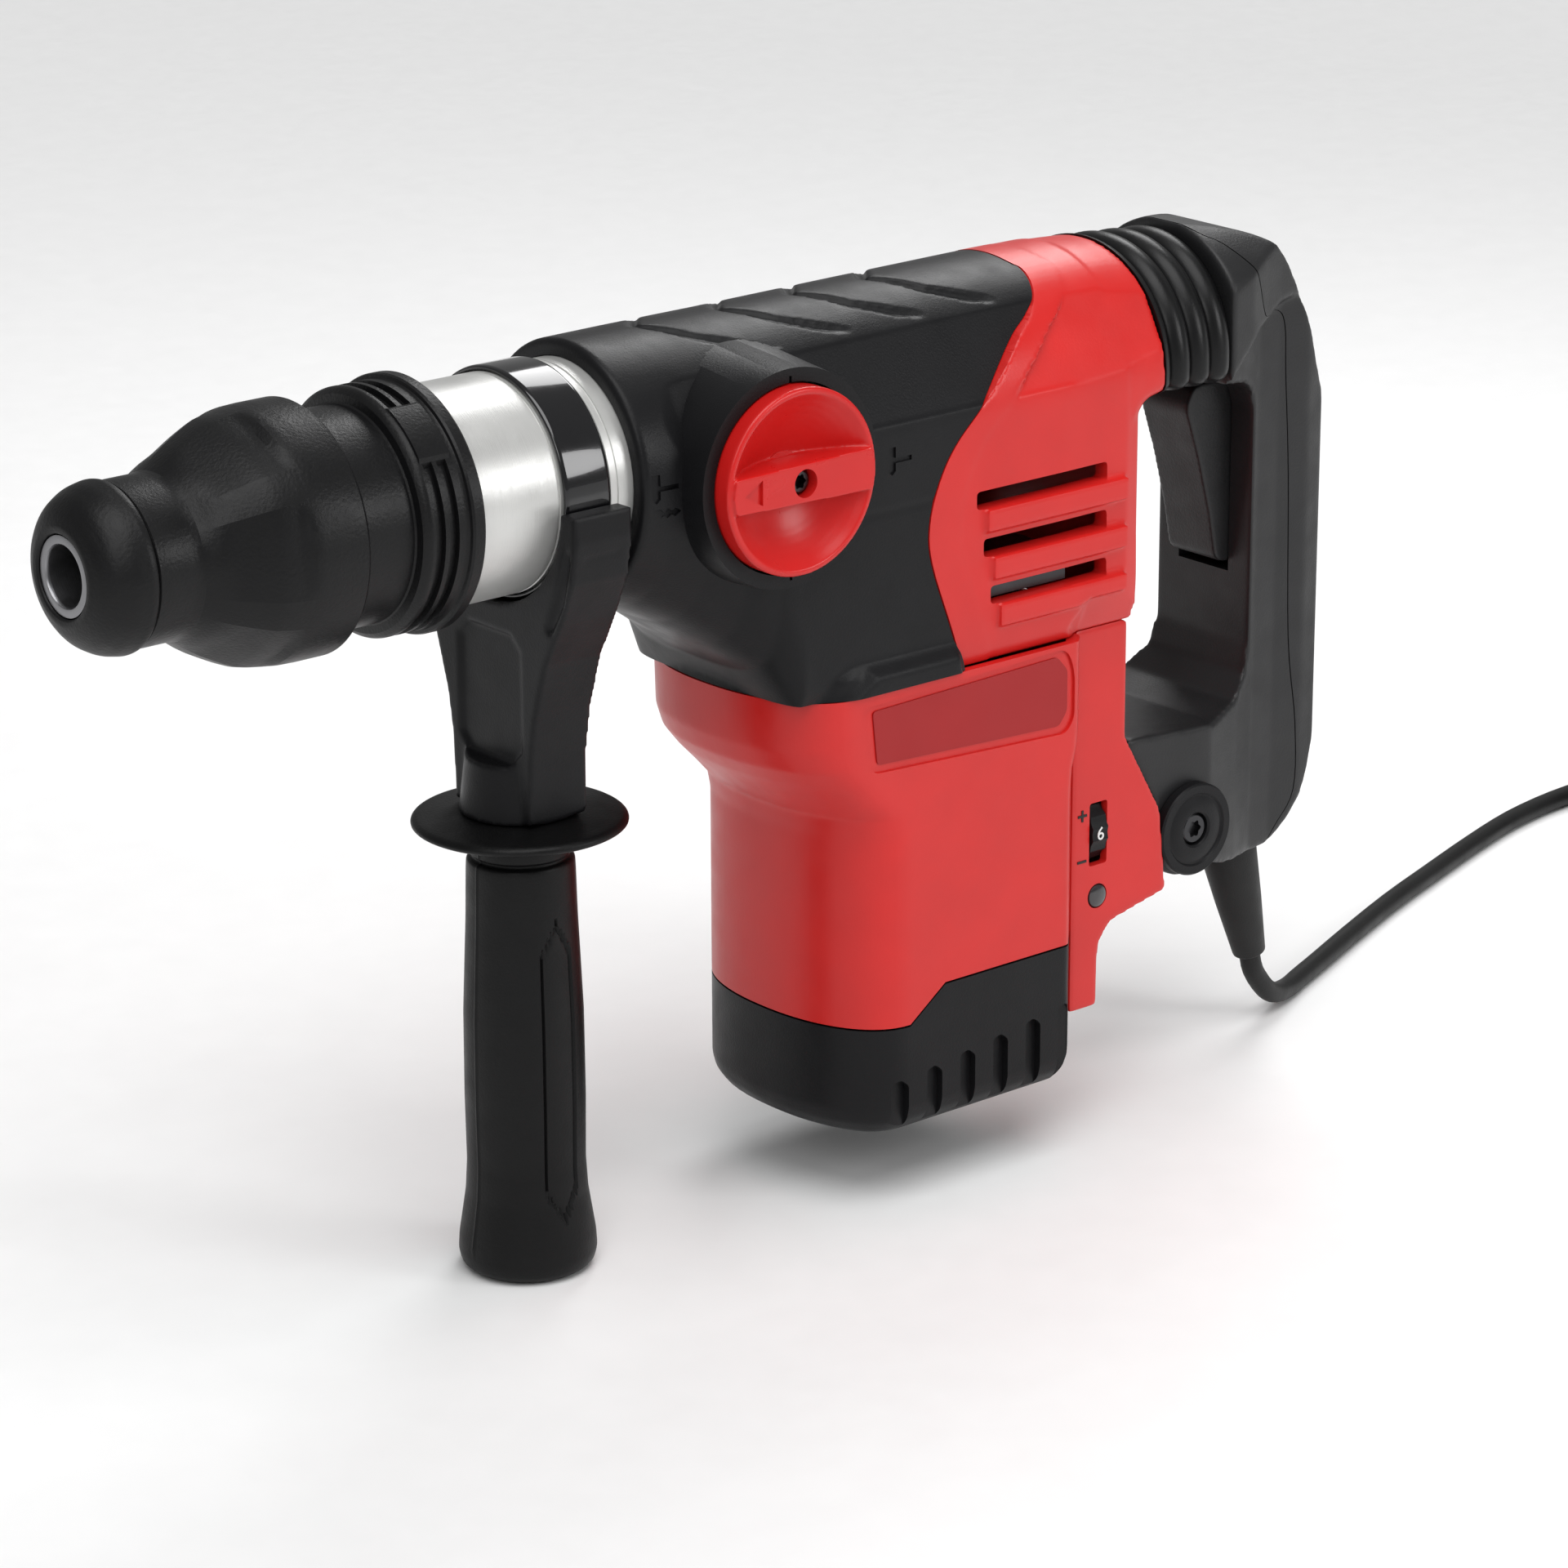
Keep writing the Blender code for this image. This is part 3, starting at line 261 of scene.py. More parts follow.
def combine(obj, others, operation="DIFFERENCE"):
    """Boolean a list of pieces into obj and remove them."""
    for other in others:
        step = obj.modifiers.new(operation.lower(), "BOOLEAN")
        step.operation = operation
        step.solver = "EXACT"
        step.object = other
    apply_modifiers(obj)
    obj.data.set_sharp_from_angle(angle=radians(SHARP_AFTER_CUT))
    for other in others:
        bpy.data.objects.remove(other, do_unlink=True)
    return obj


def soften(obj, voxel, rounds, keep=1.0):
    """Remesh a shape evenly and relax it, which rounds its edges like a moulding."""
    mesh = obj.modifiers.new("even", "REMESH")
    mesh.mode = "VOXEL"
    mesh.voxel_size = voxel * MM
    relax = obj.modifiers.new("relax", "SMOOTH")
    relax.factor = 0.5
    relax.iterations = rounds
    if keep < 1.0:
        thin = obj.modifiers.new("thin", "DECIMATE")
        thin.ratio = keep
    apply_modifiers(obj)
    obj.data.shade_smooth()
    return obj


def block(name, low, high, turn=0.0, about="Y"):
    """A box between two corners, turned by degrees about its middle."""
    low, high = Vector(low), Vector(high)
    bm = bmesh.new()
    place_at = Matrix.Translation((low + high) / 2) @ Matrix.Rotation(radians(turn), 4, about)
    bmesh.ops.create_cube(bm, size=1.0, matrix=place_at @ Matrix.Diagonal((*(high - low), 1.0)))
    return add_piece(name, bm)


def axis_matrix(axis):
    if axis == "X":
        return Matrix.Rotation(radians(90), 4, "Y")
    if axis == "Y":
        return Matrix.Rotation(radians(-90), 4, "X")
    return Matrix.Identity(4)


def rod(name, axis, at, radius, start, end, end_radius=None, segments=96):
    """A round bar or cone between two distances along an axis through a point."""
    bm = bmesh.new()
    bmesh.ops.create_cone(bm, cap_ends=True, segments=segments, radius1=radius,
                          radius2=radius if end_radius is None else end_radius, depth=end - start)
    bmesh.ops.translate(bm, vec=(0, 0, (start + end) / 2), verts=bm.verts)
    bmesh.ops.transform(bm, matrix=Matrix.Translation(at) @ axis_matrix(axis), verts=bm.verts)
    return add_piece(name, bm, 40)


def rounded(profile, radius, steps=4):
    """Round every corner of an outline by up to radius."""
    result = []
    count = len(profile)
    for i in range(count):
        before, corner, after = (Vector(profile[(i + k) % count]) for k in (-1, 0, 1))
        reach = min(radius, (before - corner).length * 0.45, (after - corner).length * 0.45)
        a = corner + (before - corner).normalized() * reach
        b = corner + (after - corner).normalized() * reach
        for k in range(steps + 1):
            t = k / steps
            result.append(tuple((1 - t) ** 2 * a + 2 * t * (1 - t) * corner + t ** 2 * b))
    return result


def oblong(left, right, low, high, radius):
    return rounded([(left, low), (right, low), (right, high), (left, high)], radius)


def refined(profile, step):
    """Split the long sides of an outline."""
    result = []
    for a, b in zip(profile, profile[1:] + profile[:1]):
        count = max(1, int((Vector(b) - Vector(a)).length / step))
        result += [tuple(Vector(a).lerp(Vector(b), i / count)) for i in range(count)]
    return result


def turned(name, axis, at, profile, segments=128, shape=None, angle=35, creases=()):
    """Turn a closed outline of (along, radius) points; shape changes the radius with the angle."""
    bm = bmesh.new()
    matrix = Matrix.Translation(at) @ axis_matrix(axis)
    rings = []
    for i in range(segments):
        a = 2 * pi * i / segments
        ring = []
        for along, radius in profile:
            r = max(radius, 0.02)
            if shape is not None:
                r = shape(along, r, 360 * i / segments)
            ring.append(bm.verts.new(matrix @ Vector((r * cos(a), r * sin(a), along))))
        rings.append(ring)
    count = len(profile)
    for a, b in zip(rings, rings[1:] + rings[:1]):
        for j in range(count):
            k = (j + 1) % count
            bm.faces.new((a[j], a[k], b[k], b[j]))
    piece = add_piece(name, bm, angle)
    for edge in piece.data.edges:
        first, second = (v // count for v in edge.vertices)
        if first == second and first in creases:
            edge.use_edge_sharp = True
    return piece


def prism(name, outline, normal, start, end):
    """A flat outline pushed along an axis: (x, z) for Y, (y, z) for X and (x, y) for Z."""
    put = {"X": lambda u, v, w: (w, u, v),
           "Y": lambda u, v, w: (u, w, v),
           "Z": lambda u, v, w: (u, v, w)}[normal]
    bm = bmesh.new()
    face = bm.faces.new([bm.verts.new(put(u, v, start)) for u, v in outline])
    pushed = bmesh.ops.extrude_face_region(bm, geom=[face])
    moved = [v for v in pushed["geom"] if isinstance(v, bmesh.types.BMVert)]
    bmesh.ops.translate(bm, vec=put(0, 0, end - start), verts=moved)
    return add_piece(name, bm, 35)


def loft(name, loops):
    """A closed skin through loops that have the same number of points."""
    bm = bmesh.new()
    rings = [[bm.verts.new(p) for p in loop] for loop in loops]
    count = len(rings[0])
    for a, b in zip(rings, rings[1:]):
        for i in range(count):
            bm.faces.new((a[i], a[(i + 1) % count], b[(i + 1) % count], b[i]))
    bm.faces.new(rings[0])
    bm.faces.new(rings[-1])
    return add_piece(name, bm, 35)


def pipe(name, points, radius, sides=12):
    """A closed round bar along points, as a mesh with flat ends."""
    points = [Vector(p) for p in points]
    loops = []
    for i, point in enumerate(points):
        forward = (points[min(i + 1, len(points) - 1)] - points[max(i - 1, 0)]).normalized()
        side = forward.cross(Vector((0.13, 0.31, 1.0))).normalized()
        up = side.cross(forward)
        r = radius(i / (len(points) - 1)) if callable(radius) else radius
        loops.append([point + side * r * c + up * r * s for c, s in around(sides)])
    return loft(name, loops)


def make_cord(plug_pieces):
    cord = pipe("power_cord", CORD_POINTS, CORD_R, 20)
    smooth(cord, 60)
    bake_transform(cord)
    finish(cord, None, "cord_rubber", ["cord", "cord_coil"])


def arc(cx, cy, radius, start, end, steps):
    """Points along part of a circle, between two angles in degrees."""
    angles = [radians(start + (end - start) * i / steps) for i in range(steps + 1)]
    return [(cx + radius * cos(a), cy + radius * sin(a)) for a in angles]


# ---------------------------------------------------------------- materials

MOTTLE_SCALE = 38.0                     # noise cycles a metre in the colour
SMEAR_SCALE = 95.0                      # and in the roughness
SMEAR = 0.12                            # share by which the roughness varies
GRAIN_DEPTH = 0.0003                    # metres


def surface(name, colour, rough, metallic=0.0, spread=0.12, grain=0.12, scale=1400.0, brushed=None,
            coat=0.0, gloss=0.5):
    """Moulded or machined finish: mottled colour, uneven gloss and a fine grain in the bump.

    spread is the mottling's share of the colour, and grain the bump's strength at scale.
    brushed stretches the grain: its three scales replace the even one.
    """
    mat = bpy.data.materials.new(name)
    mat.use_nodes = True
    tree = mat.node_tree
    shader = tree.nodes["Principled BSDF"]
    coord = tree.nodes.new("ShaderNodeTexCoord")

    def set_values(node, values):
        for socket, value in values.items():
            node.inputs[socket].default_value = value
        return node

    def noise(size, detail, vector=None):
        node = set_values(tree.nodes.new("ShaderNodeTexNoise"), {"Scale": size, "Detail": detail})
        tree.links.new(vector or coord.outputs["Object"], node.inputs["Vector"])
        return node.outputs["Fac"]

    def spans(source, low, high):
        node = set_values(tree.nodes.new("ShaderNodeMapRange"),
                          {"From Min": 0.3, "From Max": 0.7, "To Min": low, "To Max": high})
        tree.links.new(source, node.inputs["Value"])
        return node.outputs["Result"]

    mix = tree.nodes.new("ShaderNodeMix")
    mix.data_type = "RGBA"
    mix.inputs["A"].default_value = (*(c * (1 - spread) for c in colour), 1.0)
    mix.inputs["B"].default_value = (*(min(1.0, c * (1 + spread)) for c in colour), 1.0)
    tree.links.new(spans(noise(MOTTLE_SCALE, 4.0), 0.0, 1.0), mix.inputs["Factor"])
    tree.links.new(mix.outputs["Result"], shader.inputs["Base Color"])
    smear = spans(noise(SMEAR_SCALE, 6.0), rough * (1 - SMEAR), min(1.0, rough * (1 + SMEAR)))
    tree.links.new(smear, shader.inputs["Roughness"])
    set_values(shader, {"Metallic": metallic, "Coat Weight": coat, "Specular IOR Level": gloss})
    stretched = None
    if brushed is not None:
        mapping = set_values(tree.nodes.new("ShaderNodeMapping"), {"Scale": brushed})
        tree.links.new(coord.outputs["Object"], mapping.inputs["Vector"])
        stretched = mapping.outputs["Vector"]
    bump = set_values(tree.nodes.new("ShaderNodeBump"), {"Strength": grain, "Distance": GRAIN_DEPTH})
    tree.links.new(noise(1.0 if brushed else scale, 3.0, stretched), bump.inputs["Height"])
    tree.links.new(bump.outputs["Normal"], shader.inputs["Normal"])
    return mat


# colour, roughness, and what differs from surface()'s own values
FINISH_VALUES = {
    "red_plastic": ((0.58, 0.014, 0.012), 0.34, dict(spread=0.05, grain=0.10, gloss=0.42)),
    "red_satin": ((0.56, 0.011, 0.010), 0.30, dict(spread=0.04, grain=0.05, gloss=0.38)),
    "black_plastic": ((0.0070, 0.0070, 0.0078), 0.40, dict(grain=0.22, gloss=0.18)),
    "handle_plastic": ((0.0130, 0.0130, 0.0138), 0.42, dict(grain=0.24, gloss=0.34)),
    "chuck_plastic": ((0.0040, 0.0040, 0.0044), 0.40, dict(spread=0.14, grain=0.42, scale=900.0, gloss=0.24)),
    "chuck_rubber": ((0.0038, 0.0038, 0.0042), 0.45, dict(spread=0.16, grain=0.42, scale=850.0, gloss=0.24)),
    "grip_rubber": ((0.0030, 0.0030, 0.0032), 0.47, dict(spread=0.15, grain=0.30, scale=1100.0, gloss=0.22)),
    "bellows_rubber": ((0.0034, 0.0034, 0.0037), 0.36, dict(spread=0.15, gloss=0.26)),
    "cord_rubber": ((0.008, 0.008, 0.008), 0.5, dict(spread=0.2, grain=0.3, scale=1800.0, gloss=0.30)),
    "gloss_band": ((0.008, 0.008, 0.009), 0.13, dict(metallic=0.3, grain=0.02, coat=0.6)),
    "satin_barrel": ((0.62, 0.62, 0.605), 0.34,
                     dict(metallic=0.55, spread=0.04, grain=0.20, brushed=(5200.0, 60.0, 60.0))),
    "holder_steel": ((0.26, 0.26, 0.27), 0.36,
                     dict(metallic=1.0, spread=0.1, grain=0.2, brushed=(3600.0, 80.0, 80.0))),
    "spring_steel": ((0.32, 0.32, 0.33), 0.3, dict(metallic=1.0)),
    "dark_steel": ((0.06, 0.06, 0.063), 0.34, dict(metallic=1.0, grain=0.15)),
    "cast_aluminium": ((0.24, 0.24, 0.235), 0.5, dict(metallic=0.9, grain=0.4, scale=700.0)),
    "copper": ((0.60, 0.24, 0.11), 0.34, dict(metallic=1.0)),
    "carbon": ((0.03, 0.03, 0.032), 0.6, dict(metallic=0.2)),
    "dark_lens": ((0.022, 0.020, 0.022), 0.12, dict(grain=0.02, coat=0.5)),
    "label_red": ((0.33, 0.010, 0.011), 0.42, dict(spread=0.03, grain=0.02, gloss=0.30)),
    "board_green": ((0.03, 0.16, 0.07), 0.5, {}),
    "plug_metal": ((0.55, 0.54, 0.50), 0.22, dict(metallic=1.0, grain=0.05)),
    "black_soft": ((0.0120, 0.0120, 0.0128), 0.46, dict(grain=0.34, scale=1200.0, gloss=0.36)),
    "mark_black": ((0.006, 0.006, 0.006), 0.6, dict(grain=0.02)),
    "mark_white": ((0.75, 0.75, 0.74), 0.5, dict(grain=0.02)),
}
FINISHES = {name: surface(name, colour, rough, **more)
            for name, (colour, rough, more) in FINISH_VALUES.items()}


def finish(obj, body, look, nodes=()):
    """Colour a piece, hang it on its body and let it stand for its CAD nodes."""
    obj.data.materials.clear()
    obj.data.materials.append(FINISHES[look])
    if body is not None:
        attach(obj, body)
    if nodes:
        obj.name = f"{nodes[0]}_look"
        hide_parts(*nodes)
    return obj


# ---------------------------------------------------------------- chuck and barrel

AXIS = Vector((0, 0, 0))                # a point on the tool axis


def seen_from_near(degrees):
    """Angle above the knob side for a point on a piece turned about X."""
    return 270 - degrees


WEDGE_AT = 36                           # degrees above the knob side of one wedge on the sleeve
HALF_WEDGE = 8
HALF_SIDE = 30                          # half of one of the six sides
FLAT_DEPTH = 1.9


def sleeve_offset(degrees):
    """Angle from the middle of the nearest narrow wedge."""
    return (seen_from_near(degrees) - WEDGE_AT + HALF_SIDE) % (2 * HALF_SIDE) - HALF_SIDE


def sleeve_shape(along, radius, degrees):
    """Six wide flats with narrow round wedges between them on the cone."""
    depth = FLAT_DEPTH * smoothstep(along, 32, 42) * (1 - smoothstep(along, 58, 62))
    offset = sleeve_offset(degrees)
    if abs(offset) <= HALF_WEDGE or radius < 24:
        return radius
    from_middle = (HALF_SIDE - abs(offset)) / (HALF_SIDE - HALF_WEDGE)
    return radius - depth * (1 - from_middle ** 2)


def collar_shape(along, radius, degrees):
    """Two dark grooves that stop at a raised pad on either side."""
    offset = (seen_from_near(degrees) - 50 + 90) % 180 - 90
    if abs(offset) < 17:
        return radius + (0.7 if abs(offset) < 15 and 102.9 < along < 114.1 and radius > 36 else 0.0)
    if radius > 36 and (103.9 < along < 107.1 or 108.9 < along < 112.1):
        return radius - 1.7
    return radius


def make_chuck():
    holder = turned("tool_holder", "X", AXIS, rounded(
        [(-NOSE_OFFSET, 9.6), (-NOSE_OFFSET, 12.2), (30, 12.2), (31, 17), (84, 17), (85, 22), (257, 22),
         (257, 16), (96, 16), (93, 9.2), (0.6, 9.2)], 0.35, 2), 96)
    finish(holder, "spindle", "holder_steel", ["spindle_tube"])
    cap = turned("nose_cap", "X", AXIS, rounded(
        [(-0.6, 12.5), (-1.2, 13.0), (-1.35, 14.6), (0.2, 18.4), (3.4, 22.2), (8.4, 25.0), (13.6, 26.0),
         (15.6, 25.6), (15.6, 17.2), (23.4, 17.2), (23.4, 12.5)], 2.0, 6), 144, angle=50)
    finish(cap, "spindle", "chuck_rubber", ["nose_cap"])
    cone = [(16.2, 24.3), (16.6, 24.8), (20, 24.9), (26, 24.9), (29.5, 24.9), (31.5, 25.3), (33.5, 26.6),
            (36.5, 28.8), (40, 31.0), (44, 33.1), (48, 35.1), (51.5, 36.6), (55, 37.4), (60, 38.2),
            (64, 38.7), (69, 38.9), (79, 38.9), (80, 38.2)]
    outline = [(16.2, 17.6), *cone, (80, 34.8), (60, 34.8), (58, 17.6)]
    creases = [i for i in range(180) if abs(sleeve_offset(2 * i)) == HALF_WEDGE]
    sleeve = turned("locking_sleeve", "X", AXIS, refined(outline, 1.2), 180, sleeve_shape, 20, creases)
    finish(sleeve, "sleeve", "chuck_plastic", ["locking_sleeve"])
    edges = [(x, 38.1) for x in (102.8, 103.0, 103.8, 104.0, 107.0, 107.2, 108.8, 109.0, 112.0, 112.2,
                                 114.0, 114.2)]
    collar = turned("ribbed_collar", "X", AXIS,
                    [(76, 30.3), (76, 33.3), (99.4, 33.3), (99.9, 33.8), (100.3, 36.2), (101.2, 37.4),
                     (102.2, 38.0), *edges, (115.2, 38.1), (115.9, 38.4), (116.2, 39.3), (117, 39.7),
                     (120.2, 39.7), (121.0, 39.1), (121.2, 38), (121.2, 22.4), (86, 22.4), (86, 30.3)],
                    180, collar_shape, 25)
    finish(collar, "spindle", "chuck_plastic", ["ribbed_collar"])


def make_barrel():
    barrel = turned("barrel", "X", AXIS,
                    [(121.6, 30.5), (121.6, 33.6), (122.2, BARREL_R), (151.9, BARREL_R), (152.1, 33.6),
                     (152.7, 33.6), (152.9, BARREL_R), (171.4, BARREL_R), (171.6, 34.5), (173.6, 34.5),
                     (173.8, 34.1), (174.3, 34.1), (174.5, 34.5), (214, 34.3), (214, 28.6), (138, 28.6),
                     (138, 30.5)], 180, angle=25)
    finish(barrel, "housing", "satin_barrel", ["barrel"])
    band = turned("clamp_band", "X", AXIS, rounded(
        [(153.4, 34.5), (153.4, 35.6), (154.4, 36.0), (169.6, 36.0), (170.6, 35.6), (170.6, 34.5)], 0.5), 180)
    finish(band, "side_handle", "gloss_band", ["clamp_band"])


# ---------------------------------------------------------------- side handle

GRIP_AXIS = Vector((AUX_X, 0, 0))


def octagon(u, v, half_u, half_v, cut):
    """A flat panel with cut corners."""
    right = [(half_u - cut, half_v), (half_u, half_v - cut), (half_u, cut - half_v), (half_u - cut, -half_v)]
    corners = right + [(-a, b) for a, b in right[::-1]]
    return [(u + a, v + b) for a, b in corners[-1:] + corners[:-1]]


def grip_shape(along, radius, degrees):
    """A long six-sided panel on the two broad sides, and parting lines between them."""
    side = (degrees + 90 + 90) % 180 - 90
    reach = 19.0 * min(1.0, (along + 238) / 10, (-139 - along) / 10) if -238 < along < -139 else 0.0
    if reach > 0 and abs(side) < reach and radius > 14:
        return radius - (1.3 if reach - abs(side) < 2.5 else 0.6)
    if abs(abs(side) - 90) < 1.2 and -250 < along < -116 and radius > 14:
        return radius + 0.35
    return radius


def make_side_handle():
    inner = arc(0, 0, 36.4, -3, -177, 48)
    outer = [(-43.3, -2), (-43.8, -10), (-41.5, -23), (-35.5, -37), (-27.5, -52), (-22, -70), (-19.7, -84),
             (-19.0, -104.6), (19.0, -104.6), (19.7, -84), (22, -70), (27.5, -52), (35.5, -37), (41.5, -23),
             (43.8, -10), (43.3, -2)]
    yoke = prism("aux_yoke", inner + outer, "X", 150.4, 172.4)
    neck = rod("aux_neck", "Z", GRIP_AXIS, 18.8, GUARD_Z + 3.2, -78, 15.5)
    combine(yoke, [neck], "UNION")
    cutters = []
    for side in (-1, 1):
        top = [(side * y, z) for y, z in
               ((39.6, -9), (41, -16), (37, -31), (31, -41), (28.6, -39.6), (35.5, -24))]
        cutters.append(prism(f"arm_panel_{side}", top, "X", 140, 151.8))
        flank = [(154.5, -14), (168.5, -14), (168.5, -30), (154.5, -26)]
        cutters.append(prism(f"arm_flank_{side}", flank, "Y", *sorted((side * 42.6, side * 60))))
    cutters.append(prism("neck_panel", octagon(0, -66, 15.5, 21, 5), "X", 140, 151.9))
    combine(yoke, cutters)
    soften(yoke, 0.8, 5, 0.5)
    combine(yoke, [rod("yoke_bolt_bore", "Z", GRIP_AXIS, 5.3, -120, -50)])
    finish(yoke, "side_handle", "black_plastic", ["aux_yoke"])

    top = GUARD_Z
    profile = [(top + 2.8, 5.5), (top + 2.8, 19.6), (top + 2.2, 24), (top + 1.2, GUARD_R - 1.4),
               (top + 0.2, GUARD_R - 0.2), (top - 1.0, GUARD_R - 0.1), (top - 2.0, GUARD_R - 1.6),
               (top - 2.8, 24), (top - 3.6, 18.6), (top - 4.4, 16.4), (top - 10.4, 16.1), (top - 10.8, 15.2),
               (top - 11.8, 15.2), (top - 12.4, 16.9), (-124, 17.1), (-140, 17.5), (-156, 18.2),
               (-172, 18.9), (-200, 19.1), (-222, 18.8), (-232, 19.4), (-240, 20.6), (-247, 21.7),
               (-252, 22.0), (-255.4, 21.2), (-257.3, 18.9),
               (FLOOR, 15.5), (FLOOR, 0), (-192, 0), (-192, 5.5)]
    outline = refined(rounded(profile, 1.0, 2), 1.7)
    grip = turned("aux_grip", "Z", GRIP_AXIS, outline, 180, grip_shape, 40)
    finish(grip, "side_grip", "grip_rubber", ["aux_grip"])


# ---------------------------------------------------------------- casings

KNOB_AXIS = Vector((KNOB_X, 0, KNOB_Z))


def body_section(x, top, half_width, bottom, power, count=96):
    """Round-topped section of the upper body; a higher power squares its lower corners."""
    loop = []
    for c, s in around(count):
        if s >= 0:
            loop.append((x, half_width * c, top * s))
        else:
            flare = 1.0 + 0.055 * min(1.0, -bottom * -s / 75.0) * min(1.0, power / 8.0)
            y = flare * half_width * squared(c, 2 / power)
            loop.append((x, y, bottom * abs(s) ** (2 / power)))
    return loop


# x, top, half width, bottom, power
BODY_STATIONS = ((180, 38.6, 38.6, -38.6, 2), (181.2, 40, 40, -40.5, 2), (192, 40, 41, -45, 2.2),
                 (205, 40, 42, -52, 2.6), (220, 40, 42.5, -62, 3.2), (232, 40, 42.7, -71, 4.5),
                 (241, 40, 42.7, -86, 8), (300, 40.6, 42.7, -86, 9), (350, 41, 42.7, -86, 9),
                 (378, 41, 42, -86, 9), (385, 39, 40, -86, 9))
# x, top, half width, bottom of the rim that carries the bellows
RIM_STATIONS = ((372, 40.7, 41.9, -40), (378, 40.5, 41.7, -28), (382, 40.4, 41.5, -20),
                (384.5, 40.3, 41.3, -14.5), (387, 40.2, 41.1, -10.4), (390, 40, 41, -8.2),
                (394, 39.8, 40.8, -7.2), (RIM_X, 39.5, 40.5, -6.8))
RIM_POWER = 5
# x, z of the line between gear cover and rear shell
SEAM_LINE = ((350, 60), (352.5, 41.5), (354.5, 38), (351, 33), (343.5, 27), (334, 21), (315, 5),
             (303, -6), (296, -17), (292, -30), (293, -43), (302, -68), (306, -80), (306, -95))


def plan_section(z, front, rear, half_width, inset=0.0, count=49):
    """Plan outline with a rounded front and small chamfers at the rear corners."""
    depth, power = 25.0, 2.2
    chamfer = 5.0 + 3.0 * smoothstep(-z, 112, 128)
    loop = []
    for i in range(count):
        a = radians(-90 + 180 * i / (count - 1))
        c, s = cos(a), sin(a)
        x = front + depth - (depth - inset) * abs(c) ** (2 / power)
        loop.append((x, (half_width - inset) * squared(s, 2 / power), z))
    side = half_width - inset
    back = rear - inset
    loop += [(back - chamfer, side, z), (back, side - chamfer, z), (back, chamfer - side, z),
             (back - chamfer, -side, z)]
    return loop


# z and front x of the motor housing
MOTOR_STATIONS = ((SEAM_Z - GAP, 235), (-97, 235.5), (-104, 238), (-110, 243), (-117, 250),
                  (-124, 256.5), (-131, MOTOR_FRONT_X), (-200, MOTOR_FRONT_X))


def top_surface(y):
    """Height of the upper body over a point beside its middle."""
    return 40 * sqrt(1 - (y / 42.7) ** 2)


def seam_prism(name, shift, forward):
    """All of the body before (or behind) the line between gear cover and rear shell."""
    line = [Vector(p) for p in SEAM_LINE]
    line = smooth_line([(x + shift, z) for x, z in line])
    edge = 150 if forward else 420
    return prism(name, line + [(edge, line[-1][1]), (edge, line[0][1])], "Y", -70, 70)


def smooth_line(line):
    """A flat line with its points joined by a smooth curve."""
    return [(p.x, p.y) for p in smooth_route([(x, z, 0) for x, z in line], 5)]


def body_hollow(name):
    """Inside of the upper body, as a cutter."""
    inner = [body_section(x, 34.8, 34.8, -34.8, 2, 48) for x in (HOUSING_FRONT_X - 5, 185)]
    for x, top, half_width, bottom, power in BODY_STATIONS[2:-1]:
        inner.append(body_section(x + 1.5, top - INSIDE, half_width - INSIDE, bottom + WALL, power, 48))
    inner[-1] = body_section(HOUSING_REAR_X - WALL, 35, 36, -83, 9, 48)
    return loft(name, inner)


def flat_facet(name, side):
    """A long flat cut between the crease along the top and the side."""
    lean = radians(28.5)
    out = Vector((0, side * cos(lean), sin(lean)))
    along = Vector((0, -side * sin(lean), cos(lean)))
    loops = []
    for x, start in ((186, 41.8), (198, 39.1), (380, 39.3), (400, 39.3)):
        corners = [(start, -16), (start, 16), (start + 9, 16), (start + 9, -16)]
        loops.append([Vector((x, 0, 0)) + out * d + along * w for d, w in corners])
    return loft(name, loops)


def copy_of(obj, name):
    return add_object(name, obj.data.copy())


VENTS = tuple((315 + 3 * i, z) for i, z in enumerate((-26, -42, -58)))   # front x of the rib, z of the slot


def mode_marks():
    """Cutters for the two mode signs beside the knob: hammer and drill in front, hammer behind."""
    hammer = [(-0.8, -5), (0.8, -5), (0.8, 1.6), (4.4, 1.6), (4.4, 4.6), (-3.4, 4.6), (-4.6, 3.0),
              (-3.4, 1.6), (-0.8, 1.6)]
    drill = [(0, -6), (1.4, -4), (0.6, -2.6), (1.6, -1.2), (0.6, 0.2), (1.6, 1.6), (1.6, 5), (-1.6, 5),
             (-1.6, 1.6), (-0.6, 0.2), (-1.6, -1.2), (-0.6, -2.6), (-1.4, -4)]
    signs = (("front_hammer", hammer, 187.5, 0.5, 39.6), ("front_drill", drill, 187.5, -7.5, 39.8),
             ("rear_hammer", hammer, 279.5, -6.5, 42.0))
    return [prism(name, [(x - w, z + u) for u, w in outline], "Y", -60, -depth)
            for name, outline, x, z, depth in signs]


